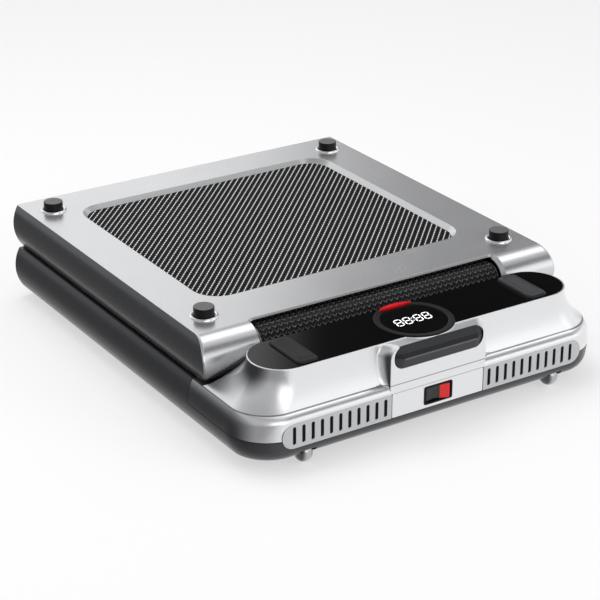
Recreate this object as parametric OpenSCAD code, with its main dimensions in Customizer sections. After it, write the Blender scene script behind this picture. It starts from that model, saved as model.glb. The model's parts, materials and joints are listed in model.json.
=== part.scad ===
// Folding walking pad, folded in half: motor half below, rear half turned over on top of it.
// Frame: X across, Y from the motor hood (-Y) to the fold hinge (+Y), Z up from the floor.

/* [Overall] */
// Width of each half across its flat plate
pad_width = 498; // [492:1:510]
// Length of a half from nose line to fold face
half_length = 481; // [470:1:500]
// How far the motor hood reaches ahead of the nose line
hood_length = 126; // [125:0.5:130]
// Height of each half without its feet
slab_height = 58.5; // [57.5:0.5:60]
// Gap between the two folded halves
stack_gap = 2.5; // [2:0.1:3]
// Height of the feet under the bottom plates
foot_height = 12.5; // [12:0.5:15]

/* [Shell] */
// Outward bulge of the side walls
bulge = 7.5; // [6.5:0.5:8]
// Thickness of the side walls
wall = 3; // [2.5:0.25:3.5]
// Thickness of the flat plates
plate = 2.5; // [2:0.25:3]
// Distance of the belt window from the side edge of the plate
window_margin = 57; // [56:0.5:61]
// Distance of the window from the nose line
window_start = 76.5; // [74:0.5:80]
// Distance of the window from the fold face
window_end = 54.5; // [52:0.5:60]
// Corner radius of the belt window
window_radius = 35; // [30:1:40]
// Height of the raised console above the slab
console_rise = 47.5; // [46:0.5:49]
// Radius of the console ends
console_radius = 39.4; // [39:0.2:40]
// Distance of the console end centres from the plate edge
console_margin = 67.6; // [67:0.2:70]

/* [Running gear] */
// Distance of the running belt from the plate edge
belt_margin = 77.5; // [77:0.5:82]
// Thickness of the running belt
belt_thick = 1.6; // [1.2:0.1:2]
// Depth of the belt below the plates
belt_drop = 7.5; // [7:0.25:8.5]
// Radius of the fixed roller axles
axle_radius = 6; // [5:0.5:6.5]
// Radial play of every turning fit
play = 0.05; // [0.02:0.01:0.08]
// Radius of the fold hinge knuckles
knuckle_radius = 8; // [7:0.25:8.5]
// Radius of the hinge pins
pin_radius = 3; // [2.5:0.25:3.5]

/* [Small parts] */
// Radius of the rubber feet
foot_radius = 12.5; // [11.5:0.5:13]
// Distance of the feet from the inner face of the side beams
foot_inset = 11.2; // [10.5:0.1:14]
// Radius of the transport wheels
wheel_radius = 13.5; // [12.5:0.25:13.75]
// Width of the transport wheels
wheel_width = 20; // [18:0.5:21]
// Radius of the display disc
disc_radius = 48.2; // [46:0.2:48.4]
// Slots in each grille
slots = 11; // [8:1:11]
// Width of one grille slot
slot_width = 4; // [3:0.1:5]

/* [Show] */
// Part to draw

/* [Hidden] */
$fn = 72;
wrap_radius = 27.5;
grip_out = 4.5;
half_w = pad_width / 2;
window_width = pad_width - 2 * window_margin;
window_length = half_length - window_start - window_end;
belt_width = pad_width - 2 * belt_margin;
console_reach = half_w - console_margin;
z0 = foot_height;
z1 = z0 + slab_height;
z_fold = z1 + stack_gap / 2;
z_top = z1 + stack_gap + slab_height;
z_seam = z0 + 22.5;
z_band = z0 + 16.5;
z_console = z1 + console_rise;
// Y of the nose line, so that the folded object is centred
y_nose = (hood_length + grip_out - half_length - 0.5 - wrap_radius) / 2;
y_end = half_length;
y_fold = half_length + 0.5;
y_front = -hood_length;
y_split = 15;
// Nose and roller: one axis, half way up each half
nose_radius = slab_height / 2;
nose_y = 5.25;
roller_z = z0 + nose_radius;
belt_radius = nose_radius - belt_drop;
drum_radius = belt_radius - belt_thick;
z_belt = z1 - belt_drop;
z_run = z0 + belt_drop;
inner_loop = z_fold - z_belt;
// Side curve of a half: one arc, upright edge at one face and drawn in at the other
arc_r = 50;
arc_rise = sqrt(arc_r * arc_r - (arc_r - bulge) * (arc_r - bulge));
// Front corner of the base
corner_r = 47;
corner_y = y_front + 8.5 + corner_r;
corner_x = half_w - corner_r;
console_y = y_front + 56.4;
disc_y = y_front + disc_radius + 3.2;
button_y = disc_radius - 15.6;
beam_in = belt_width / 2 + 33.5;
beam_out = half_w - 14;
foot_x = beam_in + foot_inset;
foot_ys = [42.6, half_length - 43.5];
brace_ys = [120, half_length - 181];
beam_z0 = z0 + plate;
beam_z1 = z0 + 42.5;
hinge_in = beam_in - 5;
hinge_out = beam_out + 5;
deck_z0 = z_belt - belt_thick - 13.9;
guide_y = half_length - 36;
motor_y = y_front + 54;
motor_z = z0 + 45;
pulley_x = -belt_width / 2 - 26.5;
motor_x = pulley_x + 33;
motor_length = 132;
wheel_y = y_front + 15;
wheel_x = half_w - 70.4;
wheel_z = 0.8 + wheel_radius;
key_x = console_reach - 16.9;
band_reach = half_w - 34 - 15.75;
slot_start = 74.7;
slot_pitch = (half_w - 50 - slot_start) / (slots - 1);
key_y = console_y;

// ---------- placing ----------
module in_pad() {
    translate([0, y_nose, 0]) children();
}

// The rear half is drawn like the base half and turned over about the fold plane
module rear_half() {
    translate([0, y_nose, 2 * z_fold]) mirror([0, 0, 1]) children();
}

// 2D (y, z) drawn into a bar across the pad
module across(x0, x1) {
    translate([x0, 0, 0]) rotate([90, 0, 90]) linear_extrude(x1 - x0) children();
}

// 2D (x, z) drawn into a bar along the pad
module along(ya, yb) {
    translate([0, yb, 0]) rotate([90, 0, 0]) linear_extrude(yb - ya) children();
}

module both_sides() {
    children();
    mirror([1, 0, 0]) children();
}

module rounded(w, l, r) {
    translate([r - w / 2, r - l / 2]) square([w - 2 * r, l - 2 * r]);
    for (sx = [-1, 1], sy = [-1, 1]) translate([sx * (w / 2 - r), sy * (l / 2 - r)]) circle(r);
    translate([-w / 2, r - l / 2]) square([w, l - 2 * r]);
    translate([r - w / 2, -l / 2]) square([w - 2 * r, l]);
}

module stadium(reach, r) {
    translate([-reach, -r]) square([2 * reach, 2 * r]);
    for (s = [-1, 1]) translate([s * reach, 0]) circle(r);
}

// ---------- shared shapes of a half ----------
// Side wall section (x, z) of a half, drawn in at the bottom (base) or at the top (rear)
module side_section(inset, za, zb, low) {
    zc = low ? z1 - arc_rise : z0 + arc_rise;
    reach = half_w + bulge - arc_r;
    intersection() {
        union() {
            for (s = [-1, 1]) translate([s * reach, zc]) circle(arc_r - inset, $fn = 144);
            translate([-reach, za]) square([2 * reach, zb - za]);
        }
        translate([-half_w - bulge, za]) square([2 * (half_w + bulge), zb - za]);
    }
}

// Arc bulge of the side wall at height z (base)
function side_u(z, inset) = sqrt(pow(arc_r - inset, 2) - pow(z - z1 + arc_rise, 2)) - arc_r + bulge;
// Front wall: round at the foot, flat band, small round at the crease
function front_u(z, inset) =
    let (f = 8.5 - inset, rl = 16.5 - inset, ru = 10.74 - inset, zt = z1 - 10.5)
    z < z_band ? f - rl + sqrt(max(0, rl * rl - pow(z_band - z, 2)))
    : z < zt ? f
    : f - ru + sqrt(max(0, ru * ru - pow(z - zt, 2)));
function front_path(y_back) = concat(
    [[-half_w, y_back, -1, 0, 0]],
    [for (a = [0 : 9 : 90]) [-corner_x - corner_r * cos(a), corner_y - corner_r * sin(a),
        -cos(a), -sin(a), (1 - cos(2 * a)) / 2]],
    [for (a = [90 : -9 : 0]) [corner_x + corner_r * cos(a), corner_y - corner_r * sin(a),
        cos(a), -sin(a), (1 - cos(2 * a)) / 2]],
    [[half_w, y_back, 1, 0, 0]]);
function ring(n, k) = [for (i = [0 : n - 1], h = [0, 1]) h == 0
    ? [k * n + i, (k + 1) * n + (i + 1) % n, k * n + (i + 1) % n]
    : [k * n + i, (k + 1) * n + i, (k + 1) * n + (i + 1) % n]];
function skin_faces(n, m) = concat([[for (i = [0 : n - 1]) i]],
    [for (k = [0 : m - 2]) each ring(n, k)], [[for (i = [n - 1 : -1 : 0]) (m - 1) * n + i]]);

// Body of the base from the front wall back to y_back, as nested rings over the levels zs
module base_block(inset, zs, y_back) {
    path = front_path(y_back);
    points = [for (z = zs) for (p = path)
        let (u = p[4] * front_u(z, inset) + (1 - p[4]) * side_u(z, inset))
        [p[0] + p[2] * u, p[1] + p[3] * u, z]];
    polyhedron(points = points, faces = skin_faces(len(path), len(zs)));
}

// Concave flare between the slab crease and the console
module flare() {
    loop = concat(
        [for (a = [0 : 10 : 90]) [-1, -cos(a), -sin(a), corner_x, corner_y, corner_r]],
        [for (a = [90 : -10 : 0]) [1, cos(a), -sin(a), corner_x, corner_y, corner_r]],
        [for (a = [15 : 15 : 90]) [1, cos(a), sin(a), half_w - 8, y_split - 8, 8]],
        [for (a = [90 : -15 : 15]) [-1, -cos(a), sin(a), half_w - 8, y_split - 8, 8]]);
    levels = [0, 0.06, 0.13, 0.2, 0.28, 0.37, 0.48, 0.62, 0.8, 1];
    points = [for (t = levels) for (q = loop)
        let (w = pow(1 - t, 2.3))
        [w * (q[0] * q[3] + q[1] * q[5]) + (1 - w) * (q[0] * console_reach + q[1] * console_radius),
            w * (q[4] + q[2] * q[5]) + (1 - w) * (console_y + q[2] * console_radius),
            z1 + console_rise * t]];
    polyhedron(points = points, faces = skin_faces(len(loop), len(levels)));
}

// Bottom plate window with its sloping rim, cut from the outside
module window_cut() {
    y = window_start + window_length / 2;
    hull() {
        translate([0, y, z0 - 0.1]) linear_extrude(0.1)
            rounded(window_width, window_length, window_radius);
        translate([0, y, z0 + 6.5]) linear_extrude(0.1)
            rounded(window_width - 12, window_length - 12, window_radius - 6);
    }
}

module window_rim() {
    y = window_start + window_length / 2;
    translate([0, y, z0]) linear_extrude(6.2)
        rounded(window_width + 6, window_length + 6, window_radius + 3);
}

// Mesh panel that closes the window, just under the belt
module window_panel() {
    y = window_start + window_length / 2;
    translate([0, y, z0 + 6.2]) linear_extrude(1)
        rounded(window_width + 4, window_length + 4, window_radius + 2);
}

// Opening for the belt and the slots for the hinge leaves in the fold face
module fold_face_cut() {
    translate([-belt_width / 2 - 2.5, y_end - 10, z0 + 30]) cube([belt_width + 5, 20, 80]);
    both_sides() {
        translate([hinge_in - 1, y_end - 12, beam_z1 - 0.5]) cube([hinge_out - hinge_in + 2, 20, 40]);
        across(hinge_in - 1, hinge_out + 1) translate([y_fold, z_fold]) circle(knuckle_radius + 0.6);
    }
}

module rail_strip() {
    inner = belt_width / 2 + 5;
    difference() {
        intersection() {
            along(y_split, y_end - wall) side_section(wall + 0.1, z1 - 3, z1, true);
            translate([inner, y_split, z1 - 4]) cube([100, half_length, 5]);
        }
        fold_face_cut();
    }
}

module beam() {
    difference() {
        across(beam_in, beam_out) difference() {
            union() {
                translate([nose_y, beam_z0]) square([y_end - 11 - nose_y, beam_z1 - beam_z0]);
                intersection() {
                    translate([nose_y, roller_z]) circle(26);
                    translate([nose_y - 30, beam_z0]) square([60, beam_z1 - beam_z0]);
                }
            }
            translate([nose_y, roller_z]) circle(axle_radius);
        }
        translate([beam_in + 2.5, nose_y + 22, beam_z0 + 2.5])
            cube([beam_out - beam_in - 5, half_length, beam_z1 - beam_z0 - 5]);
        for (y = foot_ys) translate([foot_x, y, 0]) cylinder(r = 2.5, h = 30);
    }
}

module cross_members() {
    for (y = brace_ys) difference() {
        translate([-beam_in, y, z0 + 15.5]) cube([2 * beam_in, 30, 16]);
        translate([-beam_in - 1, y + 2, z0 + 17.5]) cube([2 * beam_in + 2, 26, 12]);
    }
}

module cushions() {
    for (x = [-0.35, 0, 0.35], y = brace_ys)
        translate([x * belt_width - 20, y + 5, z0 + 31.5]) cube([40, 20, deck_z0 - z0 - 31.5]);
}

module deck_board() {
    translate([-belt_width / 2 + 2, 33, deck_z0]) cube([belt_width - 4, y_end - 36, 13.9]);
}

module guide_rod() {
    across(-beam_in, beam_in) translate([guide_y - 1.7, z_run + belt_thick + 5]) circle(5);
}

module belt_run() {
    across(-belt_width / 2, belt_width / 2) {
        difference() {
            translate([nose_y, roller_z]) circle(belt_radius);
            translate([nose_y, roller_z]) circle(drum_radius);
            translate([nose_y, 0]) square([100, 200]);
        }
        translate([nose_y, z_belt - belt_thick]) square([y_end - nose_y, belt_thick]);
        translate([nose_y, z_run]) square([guide_y - nose_y, belt_thick]);
        polygon([[guide_y, z_run], [y_end, z_fold - wrap_radius],
            [y_end, z_fold - wrap_radius + belt_thick], [guide_y, z_run + belt_thick]]);
    }
}

module feet() {
    both_sides() for (y = foot_ys) translate([foot_x, y, 0]) difference() {
        union() {
            cylinder(r1 = foot_radius - 0.8, r2 = foot_radius, h = 1);
            translate([0, 0, 1]) cylinder(r = foot_radius, h = foot_height - 1);
        }
        translate([0, 0, 5]) cylinder(r = 2.5, h = 10);
    }
}

module foot_rings() {
    both_sides() for (y = foot_ys) translate([foot_x, y, z0]) intersection() {
        rotate_extrude() translate([foot_radius + 2.2, 0]) circle(2.2, $fn = 36);
        translate([-20, -20, -3]) cube([40, 40, 3]);
    }
}

module foot_studs() {
    both_sides() for (y = foot_ys) translate([foot_x, y, 0]) {
        translate([0, 0, 5]) cylinder(r = 2.5, h = beam_z0 + 6 - 5);
        translate([0, 0, beam_z0 + 2.5]) cylinder(r = 5, h = 3.5);
    }
}

module hinge_leaf(spans, bore) {
    difference() {
        union() {
            translate([hinge_in, y_end - 42, beam_z1]) cube([hinge_out - hinge_in, 39, 4]);
            for (s = spans) translate([s[0], y_end - 11, beam_z1]) difference() {
                union() {
                    cube([s[1] - s[0], 11.5, z_fold - beam_z1]);
                    translate([0, y_fold - y_end + 11, z_fold - beam_z1]) rotate([0, 90, 0])
                        cylinder(r = knuckle_radius, h = s[1] - s[0]);
                }
            }
        }
        translate([0, y_fold, z_fold]) rotate([0, 90, 0]) cylinder(r = bore, h = 300);
    }
}

module roller(pulley) {
    difference() {
        translate([0, nose_y, roller_z]) rotate([0, 90, 0]) {
            translate([0, 0, -belt_width / 2 - 2]) cylinder(r = drum_radius, h = belt_width + 4);
            translate([0, 0, -belt_width / 2 - 12]) cylinder(r = 11, h = belt_width + 24);
            if (pulley) translate([0, 0, pulley_x]) {
                cylinder(r = 19, h = 14);
                cylinder(r = 21, h = 1.5);
                translate([0, 0, 12.5]) cylinder(r = 21, h = 1.5);
            }
            if (pulley) translate([0, 0, pulley_x]) cylinder(r = 11, h = 20);
        }
        translate([-250, nose_y, roller_z]) rotate([0, 90, 0]) cylinder(r = axle_radius + play, h = 500);
    }
}

module axle() {
    across(-beam_out, beam_out) translate([nose_y, roller_z]) circle(axle_radius);
}

// ---------- base ----------
tray_levels = [z0, z0 + 1, z0 + 2.5, z0 + 4.5, z0 + 7, z0 + 10, z0 + 13, z_band, z_seam,
    z0 + 28, z0 + 34, z0 + 40, z1 - 13, z1 - 9, z1 - 6, z1 - 3, z1];
tray_inner = [z0 + plate, z0 + 4, z0 + 7, z0 + 11, z_band, z_seam, z0 + 28, z0 + 34, z0 + 40,
    z1 - 13, z1 - 9, z1 - 6, z1 - 3, z1 + 1];

module wheel_well(grow) {
    w = wheel_width / 2 + 1 + grow;
    translate([wheel_x - w, 0, 0]) across(0, 2 * w) {
        translate([wheel_y, wheel_z]) circle(wheel_radius + 1.5 + grow);
        translate([wheel_y - wheel_radius - 1.5 - grow, 0])
            square([2 * wheel_radius + 3 + 2 * grow, wheel_z]);
    }
}

module base_tray() {
    color("#4c4e53") in_pad() difference() {
        base_block(0, tray_levels, y_end);
        difference() {
            base_block(wall, tray_inner, y_end - wall);
            window_rim();
            both_sides() wheel_well(2.5);
        }
        // the hood takes over above the seam, down to the foot of the grille band
        translate([-300, y_front - 20, z_seam]) cube([600, y_split - y_front + 20, 60]);
        translate([0, 0, z_band + 15.75]) along(y_front - 20, y_front + 13) stadium(band_reach, 15.75);
        window_cut();
        both_sides() wheel_well(0);
        both_sides() across(wheel_x - 14, wheel_x + 14) translate([wheel_y, wheel_z]) circle(3);
        fold_face_cut();
        both_sides() for (y = foot_ys) translate([foot_x, y, 0]) cylinder(r = 2.5, h = 30);
    }
}

module console_lobe(r, za, zb) {
    translate([0, disc_y, za]) cylinder(r = r, h = zb - za);
}

module front_pod() {
    intersection() {
        along(y_front, console_y) translate([0, z_band + 40]) rounded(137, 98, 14);
        translate([-80, y_front, z_band]) cube([160, 60, z_console - z_band - 1]);
    }
    intersection() {
        translate([0, 0, z_band]) linear_extrude(z_console - z_band - 12) difference() {
            translate([-84, y_front]) square([168, 40]);
            for (s = [-1, 1]) translate([s * 83, y_front]) circle(14);
        }
        along(y_front, console_y) translate([0, z_band + 40]) rounded(165, 98, 28);
    }
}

module hood_solid() {
    difference() {
        base_block(0, [z_band - 6, z_band, z_seam, z0 + 32, z0 + 40, z1 - 10.5, z1 - 8.5, z1 - 6.3,
            z1 - 4.2, z1 - 2, z1], y_split);
        difference() {
            translate([-300, y_front - 20, z_band - 10]) cube([600, 200, z_seam - z_band + 10]);
            translate([0, 0, z_band + 15.75]) along(y_front - 20, y_front + 13) stadium(band_reach, 15.75);
        }
    }
    flare();
    front_pod();
    console_lobe(disc_radius + 1, z1, z_console);
}

module hood_cavity() {
    difference() {
        union() {
            difference() {
                base_block(wall, [z_band - 6, z_band, z_seam, z0 + 32, z0 + 40, z1 - 10.5, z1 - 8.5,
                    z1 - 6.3, z1 - wall], y_split + 1);
                translate([-80, y_front - 20, z_band - 10]) cube([160, 25, 100]);
            }
            translate([0, console_y, z1 - 12]) linear_extrude(console_rise + 12 - 5.5)
                stadium(console_reach, console_radius - 3.4);
            translate([-78, y_front + 5, z_band - 1]) cube([156, y_split - y_front - 4, z1 - z_band - 2]);
            translate([-62, y_front + 5, z_band]) cube([124, 60, z_console - z_band - 16]);
        }
        across(-300, 300) translate([nose_y, z1 + stack_gap + nose_radius]) circle(nose_radius + 7.75);
    }
}

module band_shape(r, zoff) {
    translate([0, z_band + 15.75]) stadium(band_reach, r);
}

module key_hole(grow) {
    for (s = [-1, 1]) translate([s * key_x, key_y]) rounded(28 + grow, 68 + grow, 7);
}

module hood_cover() {
    color("#b9bcc1") in_pad() difference() {
        hood_solid();
        hood_cavity();
        // cradle for the nose of the folded rear half
        intersection() {
            across(-300, 300) translate([nose_y, z1 + stack_gap + nose_radius]) circle(nose_radius + 4.75);
            translate([-300, -60, z1]) cube([600, 120, 120]);
        }
        // pocket of the console plate, display and keys
        translate([0, console_y, z_console - 2]) linear_extrude(3) stadium(console_reach - 0.2, 37.6);
        console_lobe(disc_radius, z_console - 3.5, z_console + 1);
        console_lobe(disc_radius - 6, z_console - 20, z_console + 1);
        translate([0, 0, z_console - 20]) linear_extrude(30) key_hole(0.8);
        grip_seat(2.6);
        // pockets of the grilles and the switch plate
        along(y_front - 1, y_front + 2) band_shape(15.75);
        along(y_front - 1, y_front + 12) difference() {
            band_shape(12);
            translate([-70, 0]) square([140, 200]);
        }
        translate([-23, y_front - 1, z_band + 3]) cube([46, 20, 26]);
        translate([half_w - 22, -60, z0 + 26]) cube([60, 28, 20]);
    }
}

module console_plate() {
    color("#121315") in_pad() translate([0, 0, z_console - 2]) difference() {
        translate([0, console_y, 0]) linear_extrude(2) stadium(console_reach - 0.2, 37.6);
        translate([0, disc_y, -1]) cylinder(r = disc_radius, h = 4);
        translate([0, 0, -1]) linear_extrude(4) key_hole(0.8);
        translate([console_reach + 3.1, console_y, -1]) linear_extrude(4) rounded(5, 40, 2.4);
    }
}

module receiver_window() {
    color("#050506") in_pad() translate([console_reach + 3.1, console_y, z_console - 2]) linear_extrude(1.4)
        rounded(5, 40, 2.4);
}

module display_bezel() {
    color("#1b1c1f") in_pad() translate([0, disc_y, z_console - 3.5]) difference() {
        union() {
            cylinder(r = disc_radius, h = 4.3);
            cylinder(r = disc_radius - 0.8, h = 5.1);
        }
        translate([0, 0, 1.5]) cylinder(r = disc_radius - 3, h = 10);
        translate([0, 0, -1]) cylinder(r = disc_radius - 10, h = 10);
        button_shape(0.3, -1, 12);
    }
}

// Segment at the rear of the display disc
module button_shape(grow, za, h) {
    translate([0, 0, za]) linear_extrude(h) intersection() {
        circle(disc_radius - 3.3 + grow);
        translate([-60, button_y - grow]) square([120, 60]);
    }
}

module display_lens() {
    color("#0b0c0e") in_pad() translate([0, disc_y, z_console - 2]) linear_extrude(2.6) intersection() {
        circle(disc_radius - 3);
        translate([-60, -60]) square([120, 60 + button_y - 0.6]);
    }
}

module display_board() {
    color("#1d5a34") in_pad() {
        translate([-40, disc_y - 26, z_console - 11]) cube([80, 64, 1.6]);
        translate([-30, disc_y - 16, z_console - 9.4]) cube([60, 30, 5.9]);
        for (s = [-1, 1]) translate([s * 37, disc_y - 22, z_console - 9.4]) cylinder(r = 2.5, h = 3.9);
        translate([-4, disc_y + button_y + 0.4, z_console - 9.4]) cube([8, 5, 2.4]);
    }
}

module mode_button() {
    color("#c3161c") in_pad() translate([0, disc_y, z_console - 3.5]) {
        button_shape(0, 2.5, 4.2);
        button_shape(-1.2, 1.3, 2);
        translate([-3, button_y + 1.4, -2.2]) cube([6, 2.5, 4]);
    }
}

module speed_key_left() {
    speed_key(-1);
}

module speed_key_right() {
    speed_key(1);
}

module speed_key(s) {
    color("#232428") in_pad() translate([s * key_x, key_y, z_console]) {
        translate([0, 0, -4]) linear_extrude(4.6) rounded(28, 68, 7);
        hull() {
            translate([0, 0, 0.5]) linear_extrude(0.1) rounded(28, 68, 7);
            translate([0, 0, 4.9]) linear_extrude(0.1) rounded(17, 55, 5);
        }
    }
}

module key_switches() {
    color("#1d5a34") in_pad() for (s = [-1, 1]) translate([s * key_x, key_y, z_console - 9.5]) {
        translate([-22, -12, 0]) cube([44, 24, 1.6]);
        for (x = [-18.5, 18.5]) translate([x, 0, 1.6]) cylinder(r = 2.5, h = 2.4);
        translate([0, 0, 1.6]) cylinder(r = 4, h = 2);
    }
}

module switch_cover_plate() {
    color("#aeb1b6") in_pad() along(y_front, y_front + 2) difference() {
        translate([0, z_band + 15.75]) rounded(132, 31.5, 1.5);
        translate([0, z_band + 16]) rounded(40.6, 23.3, 2.5);
    }
}

module switch_bezel() {
    color("#101113") in_pad() difference() {
        union() {
            along(y_front - 1, y_front + 2) translate([0, z_band + 16]) rounded(40.6, 23.3, 2.5);
            along(y_front + 2, y_front + 24) translate([0, z_band + 16]) rounded(39, 22, 2);
        }
        along(y_front - 2, y_front + 18) translate([0, z_band + 16]) rounded(35, 19.4, 1);
        translate([0, y_front + 9, z_band]) cylinder(r = 1.5, h = 32);
    }
}

module rocker() {
    color("#1a1b1e") in_pad() translate([0, y_front + 9, z_band + 16]) rotate([0, 0, -7])
        difference() {
            translate([0, 0, -9.4]) union() {
                linear_extrude(18.8) polygon([[-16.2, -9.5], [0, -7.8], [16.2, -9.5], [15.6, -2], [6, 5],
                    [-6, 5], [-15.6, -2]]);
            }
            translate([0, 0, -12]) cylinder(r = 1.5 + play, h = 24);
        }
}

module vent_grille_left() {
    grille(-1);
}

module vent_grille_right() {
    grille(1);
}

module grille(s) {
    color("#9c9fa4") in_pad() along(y_front, y_front + 2) difference() {
        intersection() {
            band_shape(15.75);
            translate([s > 0 ? 66 : -230, 0]) square([164, 200]);
        }
        for (i = [0 : slots - 1]) translate([s * (slot_start + i * slot_pitch), z_band + 16])
            rounded(slot_width, 22.4, slot_width / 2 - 0.01);
    }
}

module grip_seat(depth) {
    along(y_front - 10, y_front + depth) translate([0, z_band + 75.2]) rounded(127, 28.6, 13);
}

module front_grip() {
    color("#26272a") in_pad() intersection() {
        across(-64, 64) polygon([[y_front, z_band + 61], [y_front - 3.2, z_band + 66],
            [y_front - grip_out, z_band + 74], [y_front - 3, z_band + 83], [y_front + 0.5, z_band + 88.4],
            [y_front + 2.6, z_band + 88.8], [y_front + 2.6, z_band + 61]]);
        grip_seat(2.6);
    }
}

module power_inlet() {
    color("#17181a") in_pad() difference() {
        translate([half_w - 22, -60, z0 + 26]) cube([22 + bulge - 0.4, 28, 20]);
        translate([half_w - 18, -57, z0 + 29]) cube([60, 22, 14]);
    }
}

module base_rails() {
    color("#2a2b2e") in_pad() both_sides() rail_strip();
}

module base_beams() {
    color("#5c5f64") in_pad() both_sides() beam();
}

module base_window_panel() {
    color("#1d1e20") in_pad() window_panel();
}

module base_cross_members() {
    color("#5c5f64") in_pad() cross_members();
}

module base_cushions() {
    color("#1b1b1b") in_pad() cushions();
}

module base_deck_board() {
    color("#6b4f35") in_pad() deck_board();
}

module base_guide_rod() {
    color("#8c8f94") in_pad() guide_rod();
}

module base_belt() {
    color("#18191b") in_pad() belt_run();
}

module base_axle() {
    color("#8c8f94") in_pad() axle();
}

module base_feet() {
    color("#151516") in_pad() {
        feet();
        foot_studs();
    }
}

module base_foot_rings() {
    color("#c9cbce") in_pad() foot_rings();
}

module stack_bumpers() {
    color("#1b1b1b") in_pad() both_sides() for (y = [60, half_length - 61])
        translate([foot_x + 5.8, y, z1]) cylinder(r = 7, h = stack_gap - 0.3);
}

module base_hinges() {
    color("#6f7277") in_pad() both_sides() base_leaf();
}

module base_leaf() {
    hinge_leaf([[hinge_in, hinge_in + 12], [hinge_out - 12, hinge_out]], pin_radius);
}

module hinge_pins() {
    color("#a0a2a6") in_pad() both_sides() across(hinge_in, hinge_out) translate([y_fold, z_fold])
        circle(pin_radius);
}

module motor_body() {
    color("#3b3d41") in_pad() translate([0, motor_y, motor_z]) rotate([0, 90, 0]) difference() {
        union() {
            translate([0, 0, motor_x]) cylinder(r = 29, h = 12);
            translate([0, 0, motor_x + 12]) cylinder(r = 31, h = motor_length - 22);
            translate([0, 0, motor_x + motor_length - 10]) cylinder(r = 29, h = 10);
        }
        translate([0, 0, motor_x - 5]) cylinder(r = 5 + play, h = motor_length);
    }
}

module motor_cradle() {
    color("#5c5f64") in_pad() difference() {
        for (x = [17, 93]) translate([motor_x + x, motor_y - 26, z0 + plate]) cube([24, 52, motor_z - z0 - 12]);
        translate([-200, motor_y, motor_z]) rotate([0, 90, 0]) cylinder(r = 31, h = 200);
    }
}

module motor_shaft() {
    color("#a0a2a6") in_pad() translate([0, motor_y, motor_z]) rotate([0, 90, 0]) {
        translate([0, 0, pulley_x - 4]) cylinder(r = 5, h = 26 + motor_length);
        translate([0, 0, pulley_x]) cylinder(r = 10, h = 14);
    }
}

module motor_belt() {
    color("#141414") in_pad() across(pulley_x + 2, pulley_x + 12) difference() {
        hull() {
            translate([motor_y, motor_z]) circle(12.3);
            translate([nose_y, roller_z]) circle(21.3);
        }
        hull() {
            translate([motor_y, motor_z]) circle(10.3);
            translate([nose_y, roller_z]) circle(19.3);
        }
    }
}

module controller_board() {
    color("#1d5a34") in_pad() translate([62, y_front + 18, z0 + plate]) {
        translate([0, 0, 8]) cube([96, 64, 1.6]);
        for (x = [5, 91], y = [5, 59]) translate([x, y, 0]) cylinder(r = 3, h = 8);
        for (i = [0 : 5]) translate([10, 8 + i * 8, 9.6]) cube([30, 3, 20]);
        translate([10, 8, 9.6]) cube([30, 43, 4]);
        for (x = [56, 74]) translate([x, 20, 9.6]) cylinder(r = 8, h = 24);
        translate([50, 40, 9.6]) cube([34, 16, 12]);
    }
}

module fan_housing() {
    color("#1b1c1f") in_pad() translate([0, motor_y, motor_z]) {
        difference() {
            translate([30, -30, -30]) cube([18, 60, 60]);
            translate([20, 0, 0]) rotate([0, 90, 0]) cylinder(r = 27, h = 60);
        }
        translate([45.5, 0, 0]) difference() {
            union() {
                for (a = [0, 90]) rotate([a, 0, 0]) translate([0, -28, -2]) cube([2.5, 56, 4]);
                rotate([0, 90, 0]) cylinder(r = 8, h = 2.5);
            }
            rotate([0, 90, 0]) translate([0, 0, -1]) cylinder(r = 2, h = 5);
        }
        translate([30, -30, z0 + plate - motor_z]) cube([18, 60, motor_z - z0 - plate - 30]);
    }
}

module fan_rotor() {
    color("#26272a") in_pad() translate([33, motor_y, motor_z]) {
        rotate([0, 90, 0]) cylinder(r = 9, h = 11);
        rotate([0, 90, 0]) cylinder(r = 2 - play, h = 15);
        for (a = [0 : 60 : 300]) rotate([a, 0, 0]) translate([1, -2, 8]) rotate([0, 0, 20])
            cube([2, 8, 17]);
    }
}

module wheel_axles() {
    color("#a0a2a6") in_pad() both_sides() across(wheel_x - 13, wheel_x + 13)
        translate([wheel_y, wheel_z]) circle(3);
}

module transport_wheel_left() {
    transport_wheel(-1);
}

module transport_wheel_right() {
    transport_wheel(1);
}

module transport_wheel(s) {
    r = wheel_radius;
    w = wheel_width / 2;
    color("#aeb0b4") in_pad() translate([s * wheel_x, wheel_y, wheel_z]) rotate([0, 90, 0]) difference() {
        rotate_extrude() polygon([[0, -w], [r - 4.6, -w], [r - 2.6, -w + 0.9], [r - 1.1, -w + 3], [r - 0.3, -3.4],
            [r, -1.2], [r, 1.2], [r - 0.3, 3.4], [r - 1.1, w - 3], [r - 2.6, w - 0.9], [r - 4.6, w], [0, w]]);
        cylinder(r = 3 + play, h = 40, center = true);
    }
}

module fold_loop(r) {
    translate([0, y_nose, 0]) across(-belt_width / 2, belt_width / 2) {
        difference() {
            translate([y_fold, z_fold]) circle(r);
            translate([y_fold, z_fold]) circle(r - belt_thick);
            translate([y_fold - 100, 0]) square([100, 200]);
        }
        for (z = [z_fold - r, z_fold + r - belt_thick]) translate([y_end, z])
            square([y_fold - y_end, belt_thick]);
    }
}

module fold_loop_inner() {
    color("#18191b") fold_loop(inner_loop + belt_thick);
}

module fold_loop_outer() {
    color("#18191b") fold_loop(wrap_radius);
}

module front_roller() {
    color("#8c8f94") in_pad() roller(true);
}

// ---------- rear half ----------
module rear_shape(inset) {
    along(nose_y - 40, y_end - (inset > 0 ? wall : 0)) side_section(inset, z0 + (inset > 0 ? plate : 0),
        z1 + (inset > 0 ? 1 : 0), false);
}

module nose_outline(r) {
    translate([nose_y, z0 - 1]) square([half_length, slab_height + 3]);
    translate([nose_y, roller_z]) circle(r, $fn = 144);
}

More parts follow.
